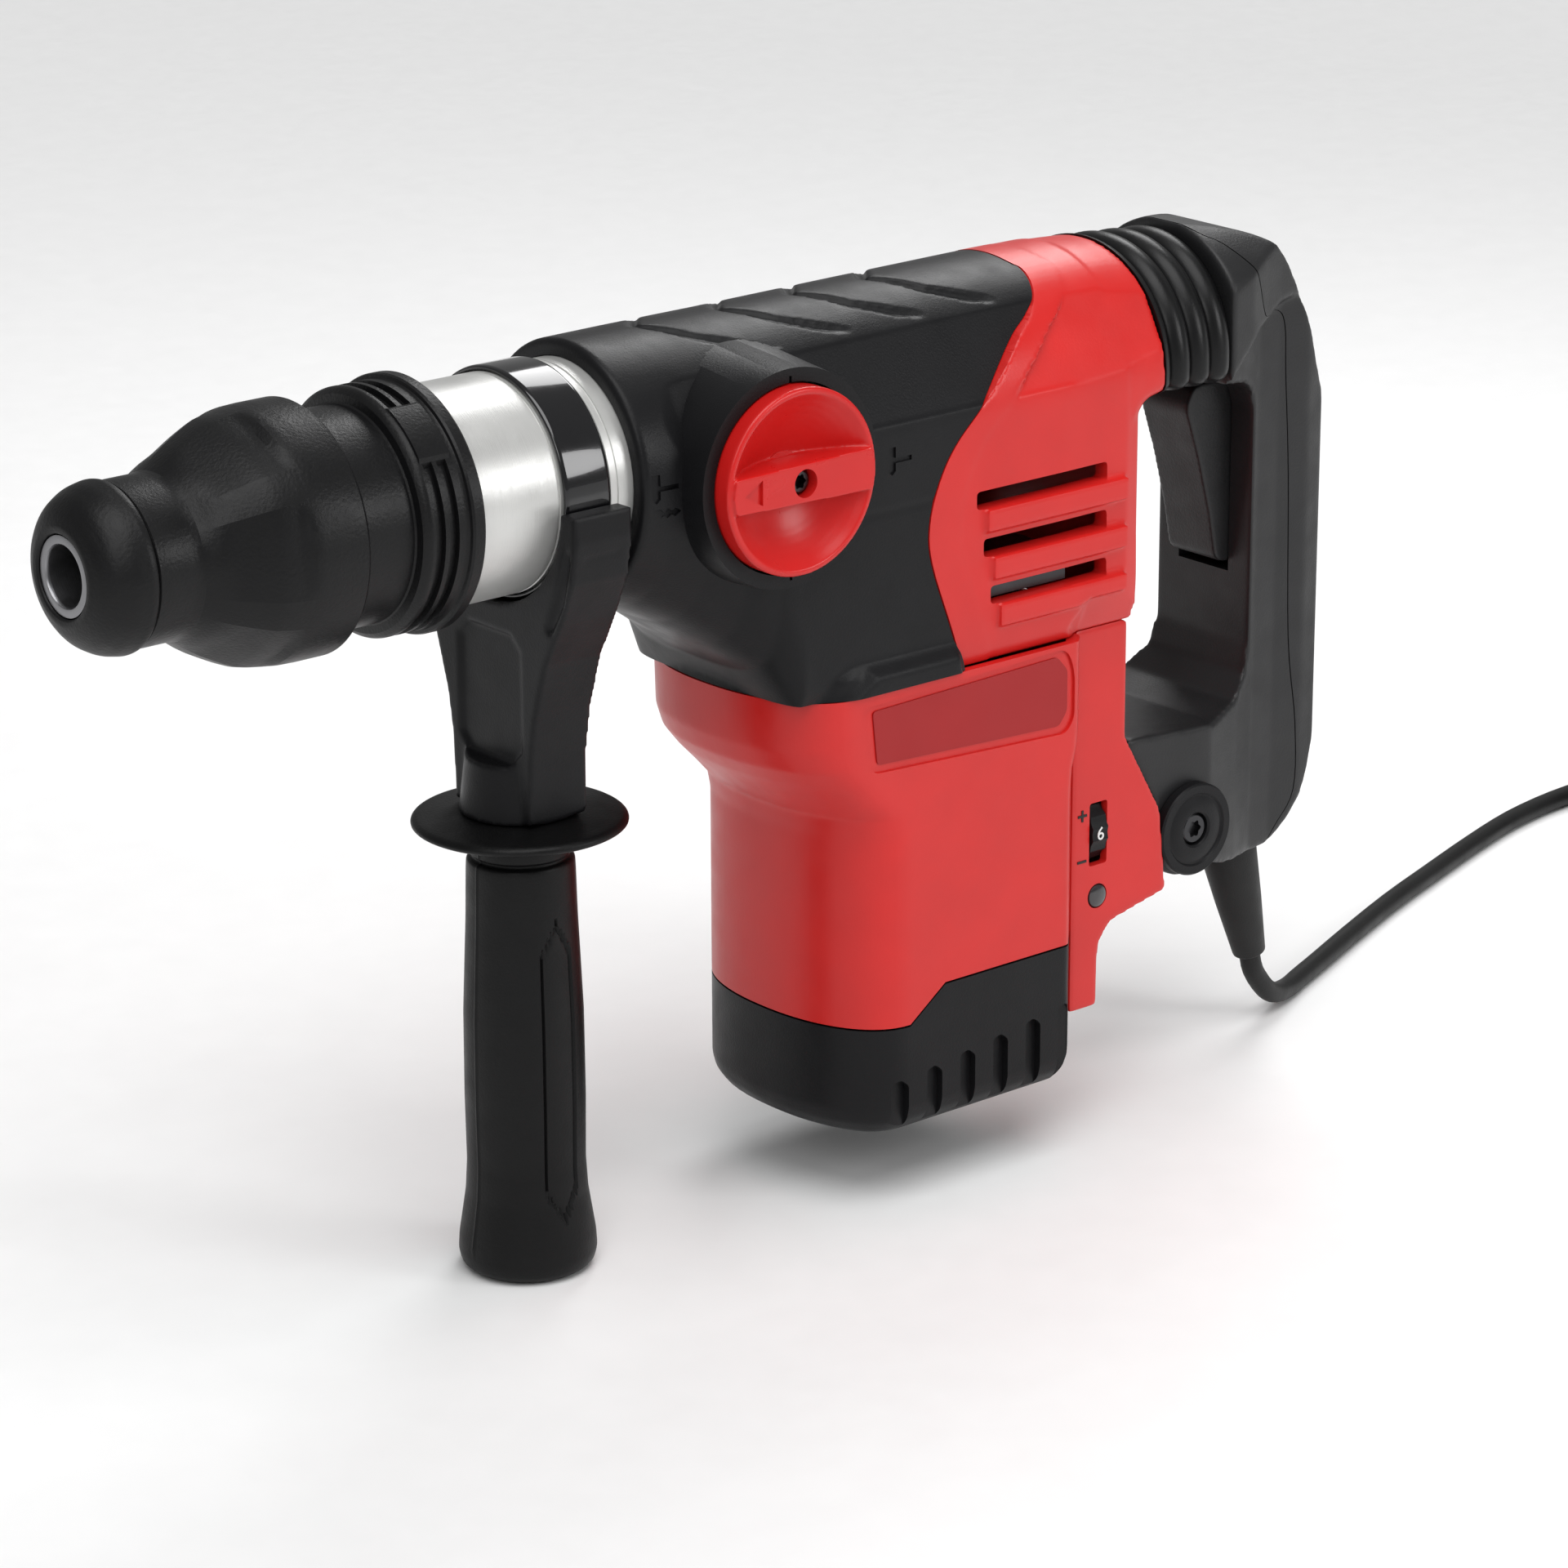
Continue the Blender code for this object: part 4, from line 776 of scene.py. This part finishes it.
def make_upper_body():
    body = loft("upper_body", [body_section(*station) for station in BODY_STATIONS])
    band = loft("seam_band", [body_section(x, top + 0.15, half_width + 0.15, bottom - 0.15, power)
                              for x, top, half_width, bottom, power in BODY_STATIONS])
    combine(band, [seam_prism("band_front", 0, True), seam_prism("band_rear", 13, False)])
    rim = [body_section(*station, RIM_POWER) for station in RIM_STATIONS]
    combine(body, [loft("rear_rim", rim)], "UNION")
    combine(body, [flat_facet(f"facet_{side}", side) for side in (-1, 1)])
    ribs = []
    for x, z in VENTS:
        for side in (-1, 1):
            low, high = sorted((side * 40, side * 45.2))
            ribs.append(block(f"vent_rib_{x}_{side}", (x, low, z - 10.5), (376.5, high, z - 3.2)))
    combine(body, ribs, "UNION")
    rear = copy_of(body, "rear_body")
    ledges = []
    for side in (-1, 1):
        low = [(x, side * 46.6, z) for x, z in ((268, -75), (303, -75), (304, -82), (257, -82))]
        high = [(x, side * 41, z) for x, z in ((261, -68), (300, -68), (304, -82), (246, -82))]
        ledges.append(loft(f"chin_ledge_{side}", [low, high]))
    chin = [(-62, 246, 40), (-66, 242, 41.6), (-70, 238.5, 43), (-74, 236, 44.6), (SEAM_Z - 4, 235, 45)]
    chin = loft("chin", [plan_section(z, front, 312, half) for z, front, half in chin])
    combine(body, [chin] + ledges, "UNION")
    cutters = []
    for i, x in enumerate((208, 241, 271, 301)):
        half = [(x + 33, 25.6), (x + 24, 22.5), (x + 12, 15.5), (x, 0)]
        route = half + [(u, -v) for u, v in half[-2::-1]]
        points = [(u, v, top_surface(v) + 1.0) for u, v in route]
        cutters.append(pipe(f"top_groove_{i}", points, lambda t: 2.1 - 0.9 * (abs(2 * t - 1) > 0.9), 12))
    for low, high, depth in ((-23.5, -21.6, 42.3), (6.5, 8.4, 41.4)):
        cutters.append(block(f"side_step_{low}", (262, -60, low), (350, -depth, high)))
    combine(body, cutters)
    soften(body, 0.9, 3, 0.5)
    boss = rod("knob_boss", "Y", KNOB_AXIS, 34.6, -50, -20, 37.4, 160)
    combine(body, [boss], "UNION")
    marks = []
    for z in (KNOB_Z - 30.0, KNOB_Z + 30.0):
        marks.append(block(f"boss_tick_{z}", (KNOB_X - 0.5, -52, z - 2.2), (KNOB_X + 0.5, -48.6, z + 2.2)))
    combine(body, [block("below_seam", (170, -60, -110), (400, 60, SEAM_Z)), body_hollow("cover_hollow"),
                   rod("knob_recess", "Y", KNOB_AXIS, 30.2, -70, -43.5, segments=144),
                   rod("knob_shaft_bore", "Y", KNOB_AXIS, 8.6, -60, -30),
                   seam_prism("behind_seam", -GAP, False)] + marks + mode_marks())
    body.name = "gear_cover"
    finish(body, "housing", "black_plastic", ["gear_cover"])

    combine(rear, [band], "UNION")
    cutters = [block("below_rear", (170, -60, -110), (400, 60, SEAM_Z))]
    start = [(50, -70), (50, -90), (44.4, -90), (44.4, -74), (44.4, -71)]
    deep = [(50, -66), (50, -90), (37.3, -90), (37.3, -80), (43.0, -67)]
    for side in (-1, 1):
        cutters.append(loft(f"lower_taper_{side}", [[(x, side * y, z) for y, z in section] for x, section in
                                                    ((349, start), (361, deep), (400, deep))]))
    combine(rear, cutters)
    soften(rear, 0.9, 2, 0.45)
    slots = []
    for x, z in VENTS:
        slots.append(prism(f"vent_slot_{x}", oblong(x - 3, 369, z - 3, z + 3, 1.6), "Y", -60, 60))
    rim = [body_section(x + 1, top - WALL, half - WALL, bottom + WALL, RIM_POWER, 48)
           for x, top, half, bottom in RIM_STATIONS[3:]]
    combine(rear, [body_hollow("rear_hollow"), loft("rim_hollow", rim),
                   seam_prism("before_seam", GAP, True)] + slots)
    rear.name = "rear_shell"
    return rear


def make_motor_casings(rear):
    def section(z, front=MOTOR_FRONT_X, inset=0.0):
        return plan_section(z, front, MOTOR_REAR_X, MOTOR_HALF_WIDTH, inset)

    motor = loft("motor_housing", [section(z, front) for z, front in ((SEAM_Z + 4, 235), *MOTOR_STATIONS)])
    panel = rounded([(262, -84), (350, -81.6), (353.5, -90), (353.5, -106), (350, -110.5), (266, -106.5)], 4)
    soften(motor, 0.95, 4, 0.45)
    line = [(240, CAP_SEAM_Z), (283, CAP_SEAM_Z), (298, CAP_STEP_Z), (380, CAP_STEP_Z)]
    hollow = [section(z, front, WALL) for z, front in
              ((-70, 235), *MOTOR_STATIONS[1:-1], (-220, MOTOR_FRONT_X))]
    combine(motor, [prism("below_cap", line + [(380, -230), (240, -230)], "Y", -60, 60),
                    loft("motor_hollow", hollow),
                    prism("label_recess", panel, "Y", -60, -44.1),
                    block("motor_top", (200, -60, SEAM_Z - GAP), (400, 60, -60))])
    finish(motor, "housing", "red_plastic", ["motor_housing"])

    levels = ((-176, 0), (-224, 0), (-228, 1.0), (-231.5, 3.6), (CAP_BOTTOM_Z, 9.0))
    cap = loft("vent_cap", [section(z, inset=inset) for z, inset in levels])
    chamfer = [(344, -236), (364, -224), (372, -240), (344, -240)]
    combine(cap, [prism("cap_rear_chamfer", chamfer, "Y", -60, 60)])
    soften(cap, 0.95, 4, 0.45)
    lifted = [(x, z - 0.7) for x, z in line]
    inner = loft("cap_hollow", [section(z, inset=inset)
                                for z, inset in ((-170, WALL), (-225, WALL), (-231, 7.0))])
    slots = []
    for i in range(6):
        x, top = 276 + 14.4 * i, -213.5 + 1.8 * i
        outline = rounded([(x, -233), (x + 6.5, -230), (x + 6.5, top - 2.5), (x + 3.5, top),
                           (x, top - 1)], 1.2)
        for side in (-1, 1):
            slots.append(prism(f"cap_slot_{i}_{side}", outline, "Y", *sorted((side * 42.3, side * 60))))
    combine(cap, [prism("above_cap", lifted + [(380, -150), (240, -150)], "Y", -60, 60), inner] + slots)
    finish(cap, "housing", "black_plastic", ["vent_cap"])

    front = MOTOR_REAR_X + 0.4
    side_view = rounded([(front, SEAM_Z - GAP), (384.4, SEAM_Z - GAP), (384.4, -121), (401, -150),
                         (404.3, -179), (379, -184.5), (373.6, -191), (373, -213), (front, -213)], 2)
    strip = prism("rear_strip", side_view, "Y", -37, 37)
    soften(strip, 0.95, 4, 0.5)
    hollow = [(350, -70), (381, -70), (381, -125), (397, -151), (397, -165), (400, -177.5),
              (382, -183), (373, -192.5), (371, -210), (350, -210)]
    window = oblong(DIAL_X - 4, DIAL_X + 4, DIAL_Z - 11, DIAL_Z + 11, 1.2)
    lens_axis = Vector((DIAL_X, 0, LENS_Z))
    combine(strip, [prism("strip_hollow", hollow, "Y", -34, 34),
                    block("strip_top", (340, -60, SEAM_Z - GAP), (400, 60, -60)),
                    block("bracket_opening", (380, -13, -178), (410, 13, -144)),
                    prism("dial_window", window, "Y", -60, -30),
                    rod("lens_hole", "Y", lens_axis, 4.3, -60, -30)])
    finish(strip, "housing", "red_plastic", ["electronics_cover"])
    finish(rear, "housing", "red_plastic", ["rear_shell"])

    label = prism("label_plate", rounded([(267, -86), (346, -84), (350.5, -89), (350.5, -103), (347, -107.5),
                                          (269, -104)], 1.5), "Y", -44.6, -42.5)
    finish(label, "housing", "label_red", ["label_plate"])
    lens = turned("indicator_lens", "Y", lens_axis,
                  [(-37.8, 0), (-37.7, 2.4), (-37.2, 3.7), (-36.6, 4.0), (-32, 4.0), (-32, 0)], 48)
    finish(lens, "housing", "dark_lens", ["indicator_lens"])


# ---------------------------------------------------------------- controls

def make_controls():
    dish = [(-45.0 - 10.9 * (i / 12) ** 2.4, 27.6 * i / 12) for i in range(13)]
    rim = [(-55.9, 28.7), (-55.3, KNOB_R), (-44.2, KNOB_R), (-44.2, 0)]
    knob = turned("selector_knob", "Y", KNOB_AXIS, rim + dish, 144)
    bar = prism("knob_bar", rounded([(-27.2, 5.6), (27.2, 6.6), (28.2, 0), (27.2, -6.6), (-27.2, -5.6),
                                     (-28.2, 0)], 1.5), "Y", -57.2, -45.5)
    shaft = rod("selector_shaft", "Y", KNOB_AXIS, 8.0, -46, -30)
    combine(knob, [move_to(bar, KNOB_AXIS)], "UNION")
    soften(knob, 0.45, 2, 0.5)
    combine(knob, [shaft], "UNION")
    arrow = [(KNOB_X - 24, KNOB_Z), (KNOB_X - 17, KNOB_Z + 4), (KNOB_X - 17, KNOB_Z - 4)]
    combine(knob, [prism("knob_arrow", arrow, "Y", -60, -56.1),
                   rod("knob_screw_hole", "Y", KNOB_AXIS, 4.5, -70, -40)])
    finish(knob, "mode_knob", "red_satin", ["selector_knob"])
    screw = turned("knob_screw", "Y", KNOB_AXIS,
                   [(-54.2, 0), (-54.2, 3.2), (-53.4, 4.1), (-41, 4.1), (-41, 0)], 48)
    combine(screw, [torx("knob_screw_socket", KNOB_AXIS, 2.2, -60, -51.5)])
    finish(screw, "mode_knob", "dark_steel", ["knob_screw"])

    teeth = 36
    outline = []
    for i, (c, s) in enumerate(around(teeth)):
        radius = DIAL_R if i % 2 else DIAL_R - 0.6
        outline.append((radius * c + DIAL_Y, radius * s + DIAL_Z))
    dial = prism("speed_dial", outline, "X", DIAL_X - 3.4, DIAL_X + 3.4)
    axle = rod("dial_axle", "X", Vector((0, DIAL_Y, DIAL_Z)), 1.9, DIAL_X - 5, DIAL_X + 5, segments=24)
    combine(dial, [axle], "UNION")
    finish(dial, "dial", "black_plastic", ["speed_dial"])
    digit("dial_digit", "6", (DIAL_X, DIAL_Y - DIAL_R + 0.25, DIAL_Z), 6.4, "dial", "mark_white")

    for name, bars in (("plus", ((2.0, 0.42), (0.42, 2.0))), ("minus", ((2.0, 0.42),))):
        x, z = 365.2, DIAL_Z + (7.5 if name == "plus" else -8.5)
        sign = None
        for i, (half_x, half_z) in enumerate(bars):
            low, high = (x - half_x, -37.25, z - half_z), (x + half_x, -36.5, z + half_z)
            part = block(f"dial_{name}_{i}", low, high)
            sign = part if sign is None else combine(sign, [part], "UNION")
        sign.name = f"dial_{name}"
        finish(sign, "housing", "mark_black")

    outline = rounded([(434.5, -23), (437.5, -17), (441, -15.6), (462.5, -15.2), (464, -20), (464, -72),
                       (459.5, -79.5), (452, -79.5), (449.4, -77), (446.5, -62), (441, -42)], 2.5)
    trigger = prism("trigger", outline, "Y", -11.4, 11.4)
    soften(trigger, 0.7, 6)
    finish(trigger, "trigger", "black_soft", ["trigger"])


def torx(name, at, radius, start, end):
    """A six-lobed socket, as a cutter."""
    outline = []
    for i, (c, s) in enumerate(around(36)):
        r = radius * (1 + 0.14 * cos(6 * 2 * pi * i / 36))
        outline.append((at.x + r * c, at.z + r * s))
    return prism(name, outline, "Y", start, end)


def digit(name, text, at, size, body, look):
    """A raised number that faces the knob side."""
    curve = bpy.data.curves.new(name, "FONT")
    curve.body = text
    curve.size = size * MM
    curve.extrude = 0.15 * MM
    curve.align_x = "CENTER"
    curve.align_y = "CENTER"
    obj = add_object(name, curve)
    mesh = evaluated_mesh(obj)
    mesh.transform(Matrix.Translation(place(*at)) @ Matrix.Rotation(radians(90), 4, "X"))
    bpy.data.objects.remove(obj, do_unlink=True)
    finish(add_object(name, mesh), body, look)


# ---------------------------------------------------------------- rear handle

# x, z of the handle's outside, of the hand opening, and of the line where the soft half starts
HANDLE_OUTER = [(433, 39.5), (446, 37.6), (458, 33.8), (467.5, 27), (475, 17), (482.5, 5), (486.7, -5),
                (490, -14), (496.6, -31), (501, -50), (502.5, -75), (500.5, -110), (498, -132),
                (496.5, -145), (493.5, -154), (490, -163), (484, -171), (477, -178), (468, -182.5),
                (452, -182), (438, -180)]
HANDLE_INNER = [(403, -150), (388.5, -126.5), (391, -124.5), (430, -127), (444, -123.5), (452, -116),
                (455, -106), (455, -24), (452.5, -17), (447, -13.5), (433, -11)]
SOFT_LINE = [(433.5, 60), (433.5, 40), (440, 34), (447.5, 24), (453, 10.5), (456.5, 8), (467.5, 7),
             (471.5, 1), (472.5, -16), (475, -52), (477, -109), (481.5, -141), (481.5, -165),
             (472.5, -177), (462, -190)]


def handle_blank():
    """The whole loop of the handle, before it is split into its hard and soft halves."""
    pivot = arc(PIVOT_X, PIVOT_Z, 17.2, -60, -205, 30)
    blank = prism("handle_blank", smooth_line(HANDLE_OUTER) + pivot + HANDLE_INNER, "Y", -35, 35)
    narrow = [(380, 33), (428, 33), (446, 27), (458, 21.5), (470, 19.5), (484, 19.5), (494, 16),
              (500, 9.5), (503, 3)]
    wide = [(400, 34), (434, 34), (445, 31.5), (456, 27), (466, 23.2), (477, 20.4), (486, 18.6),
            (494, 15.6), (500, 9)]
    plan = prism("handle_plan", narrow + [(x, -y) for x, y in reversed(narrow)], "Z", -210, 60)
    crown = prism("handle_crown", wide + [(x, -y) for x, y in reversed(wide)], "Z", -40, 60)
    below = [(390, -50), (390, -16), (430, -12), (450, 4), (466, 10), (510, 16), (510, -50)]
    combine(crown, [prism("below_crown", below, "Y", -60, 60)])
    combine(plan, [crown], "UNION")
    combine(blank, [plan], "INTERSECT")
    end = arc(0, 0, 40.2, 0, 180, 60) + [(-41, -210), (41, -210)]
    combine(blank, [prism("handle_end", end, "X", 370, 520)], "INTERSECT")
    return soften(blank, 0.95, 16, 0.45)


def make_handle():
    blank = handle_blank()
    cover = copy_of(blank, "handle_cover")
    line = smooth_line(SOFT_LINE)
    rear = [(520, -196), (520, 60)]
    lean = Matrix.Rotation(-RELIEF_LEAN, 4, "Y")
    pivot = Vector((PIVOT_X, 0, PIVOT_Z))

    def relief_hole(name):
        return move_to(rod(name, "Z", AXIS, 8.5, -14, 14), RELIEF_TOP, lean)

    combine(blank, [prism("soft_region", line + rear, "Y", -50, 50),
                    block("trigger_pocket", (445, -12, -83), (492, 12, -13.6)),
                    block("bracket_slot", (380, -13, -200), (440, 13, -140)),
                    rod("pivot_bore", "Y", pivot, PIVOT_BORE_R, -50, 50),
                    rod("damper_bore", "X", Vector((0, 0, 12)), 17.5, 420, 441),
                    relief_hole("frame_relief_hole")])
    blank.name = "handle_frame"
    finish(blank, "rear_handle", "handle_plastic", ["handle_frame"])
    hard = [(x + 0.5, z) for x, z in line] + [(380, -196), (380, 60)]
    combine(cover, [prism("hard_region", hard, "Y", -50, 50),
                    block("switch_pocket", (460, -12, -83), (490, 12, -22)),
                    relief_hole("cover_relief_hole")])
    finish(cover, "rear_handle", "black_soft", ["handle_cover"])

    for label, side in (("near", -1), ("far", 1)):
        profile = [(side * along, radius) for along, radius in
                   ((33.3, 5.7), (33.3, 15.6), (33.8, 16), (36.6, 16), (37.2, 15.4), (37.2, 12.8),
                    (36.6, 12.2), (36.6, 11.4), (37.0, 10.8), (37.0, 6.4), (36.4, 5.7))]
        disc = turned(f"pivot_disc_{label}", "Y", pivot, profile, 96)
        finish(disc, "rear_handle", "black_plastic", [f"pivot_disc_{label}"])
    screw = turned("pivot_screw", "Y", pivot,
                   [(-36.0, 0), (-36.0, 4.6), (-35.5, 5.2), (-32.4, 5.2), (-32.4, 0)], 64)
    combine(screw, [torx("pivot_screw_socket", pivot, 2.7, -40, -34)])
    finish(screw, "rear_handle", "dark_steel", ["pivot_screw"])

    relief = turned("strain_relief", "Z", AXIS, rounded(
        [(12.5, 3.9), (12.5, 8), (-5, 8), (-5, 10.2), (-12, 10), (-32, 8.2), (-RELIEF_LENGTH, 5.8),
         (-RELIEF_LENGTH, 3.9)], 0.8, 3), 64)
    move_to(relief, RELIEF_TOP, lean)
    finish(relief, "rear_handle", "cord_rubber", ["strain_relief"])


def make_bellows():
    """Rubber folds between the body and the handle."""
    bm = bmesh.new()
    steps, count, folds, fold_height = 84, 96, 3.5, 3.4
    outside, inside = [], []
    for i in range(steps + 1):
        t = i / steps
        x = RIM_X + 0.4 + (BELLOWS_REAR_X - RIM_X - 0.4) * t
        wave = 0.5 + 0.5 * cos(2 * pi * folds * t)
        swell = fold_height * wave ** 0.35
        top, half_width, bottom = 36.6 - 2.2 * t + swell, 37.2 - 5 * t + swell, -6.5 - 3 * t - swell / 2
        for loops, wall in ((outside, 0), (inside, WALL)):
            section = body_section(x, top - wall, half_width - wall, bottom + wall, 4, count)
            loops.append([bm.verts.new(p) for p in section])
    loops = outside + inside[::-1] + [outside[0]]
    for a, b in zip(loops, loops[1:]):
        for i in range(count):
            j = (i + 1) % count
            bm.faces.new((a[i], a[j], b[j], b[i]))
    bellows = add_piece("bellows", bm, 50)
    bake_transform(bellows)
    finish(bellows, None, "bellows_rubber", ["bellows"])


# ---------------------------------------------------------------- plug, inner parts and stage

def make_plug():
    heading = Matrix.Rotation(PLUG_HEADING, 4, "Z")
    # distance from the cord's end, half width, half height
    stations = ((0, 4.2, 4.2), (0.8, 4.6, 4.6), (20, 6.0, 6.0), (23, 7.4, 6.4), (27, 12, 8.2),
                (33, 17, 8.8), (50, 18, 8.9), (55, 17.6, 8.7), (56, 16.6, 8.0))
    loops = []
    for x, half_width, half_height in stations:
        loop = []
        for c, s in around(48):
            loop.append((x, half_width * squared(c, 0.75), half_height * squared(s, 0.75)))
        loops.append(loop)
    body = move_to(loft("plug_body", loops), PLUG_AT, heading)
    smooth(body, 40)
    finish(body, "housing", "cord_rubber", ["plug_body"])
    pins = []
    for label, side in (("left", -1), ("right", 1)):
        pin = turned(f"plug_pin_{label}", "X", Vector((0, side * 9.5, 0)),
                     [(56.4, 0), (56.4, 2.4), (73.6, 2.4), (74.8, 1.5), (75, 0)], 32)
        move_to(pin, PLUG_AT, heading)
        finish(pin, "housing", "plug_metal", [f"plug_pin_{label}"])
        pins.append(pin)
    return [body] + pins


# finishes of the CAD nodes that stay as they are
INNER_LOOKS = {
    "holder_steel": ("spindle_tube", "front_bearing", "rear_bearing", "crank_shaft", "pivot_pin",
                     "aux_bolt"),
    "dark_steel": ("beat_piece", "striker", "crank_gear", "intermediate_gear", "bevel_pinion_shaft",
                   "bevel_ring", "rotor", "stator", "gear_frame"),
    "cast_aluminium": ("piston", "connecting_rod", "bearing_plate", "pivot_bracket", "motor_bearing_upper",
                       "motor_bearing_lower"),
    "spring_steel": ("sleeve_spring", "damper_spring"),
    "copper": ("commutator", "field_coils"),
    "carbon": ("carbon_brush_left", "carbon_brush_right"),
    "board_green": ("circuit_board",),
    "black_plastic": ("cooling_fan", "switch"),
}


def colour_inner_nodes():
    for look, names in INNER_LOOKS.items():
        for name in names:
            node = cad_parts[name]
            if not node.material_slots:
                node.data.materials.append(FINISHES[look])
            for slot in node.material_slots:
                slot.material = FINISHES[look]


def make_stage():
    bm = bmesh.new()
    radius = 9000
    bm.faces.new([bm.verts.new((250 + radius * c, radius * s, FLOOR - 0.05)) for c, s in around(96)])
    floor = add_piece("floor", bm)
    mat = surface("studio_floor", (0.86, 0.86, 0.86), 0.7, spread=0.01, grain=0.02)
    floor.data.materials.append(mat)

    world = bpy.data.worlds.new("studio")
    bpy.context.scene.world = world
    world.use_nodes = True
    background = world.node_tree.nodes["Background"].inputs
    background["Color"].default_value = (1.0, 1.0, 1.0, 1.0)
    background["Strength"].default_value = 0.27
    sun = bpy.data.lights.new("sky", "SUN")
    sun.energy = 2.1
    sun.angle = radians(50)
    above = add_object("sky", sun)
    above.rotation_euler = (radians(18), radians(-10), 0)
    # name, place, diameter in millimetres, watts
    lamps = (("left", (-700, -800, 650), 520, 3.2), ("right", (900, -1150, 420), 520, 4.6),
             ("back", (1000, 500, 800), 600, 5.4))
    for name, at, size, power in lamps:
        data = bpy.data.lights.new(name, "AREA")
        data.shape = "DISK"
        data.size = size * MM
        data.energy = power
        lamp = add_object(name, data)
        lamp.location = place(*at)
        aim = place(250, 0, -60) - lamp.location
        lamp.rotation_euler = aim.to_track_quat("-Z", "Y").to_euler()
    bpy.context.scene.view_settings.view_transform = "Standard"


make_chuck()
make_barrel()
make_side_handle()
REAR = make_upper_body()
make_motor_casings(REAR)
make_controls()
make_handle()
make_bellows()
make_cord(make_plug())
colour_inner_nodes()
make_stage()

bpy.context.view_layer.update()
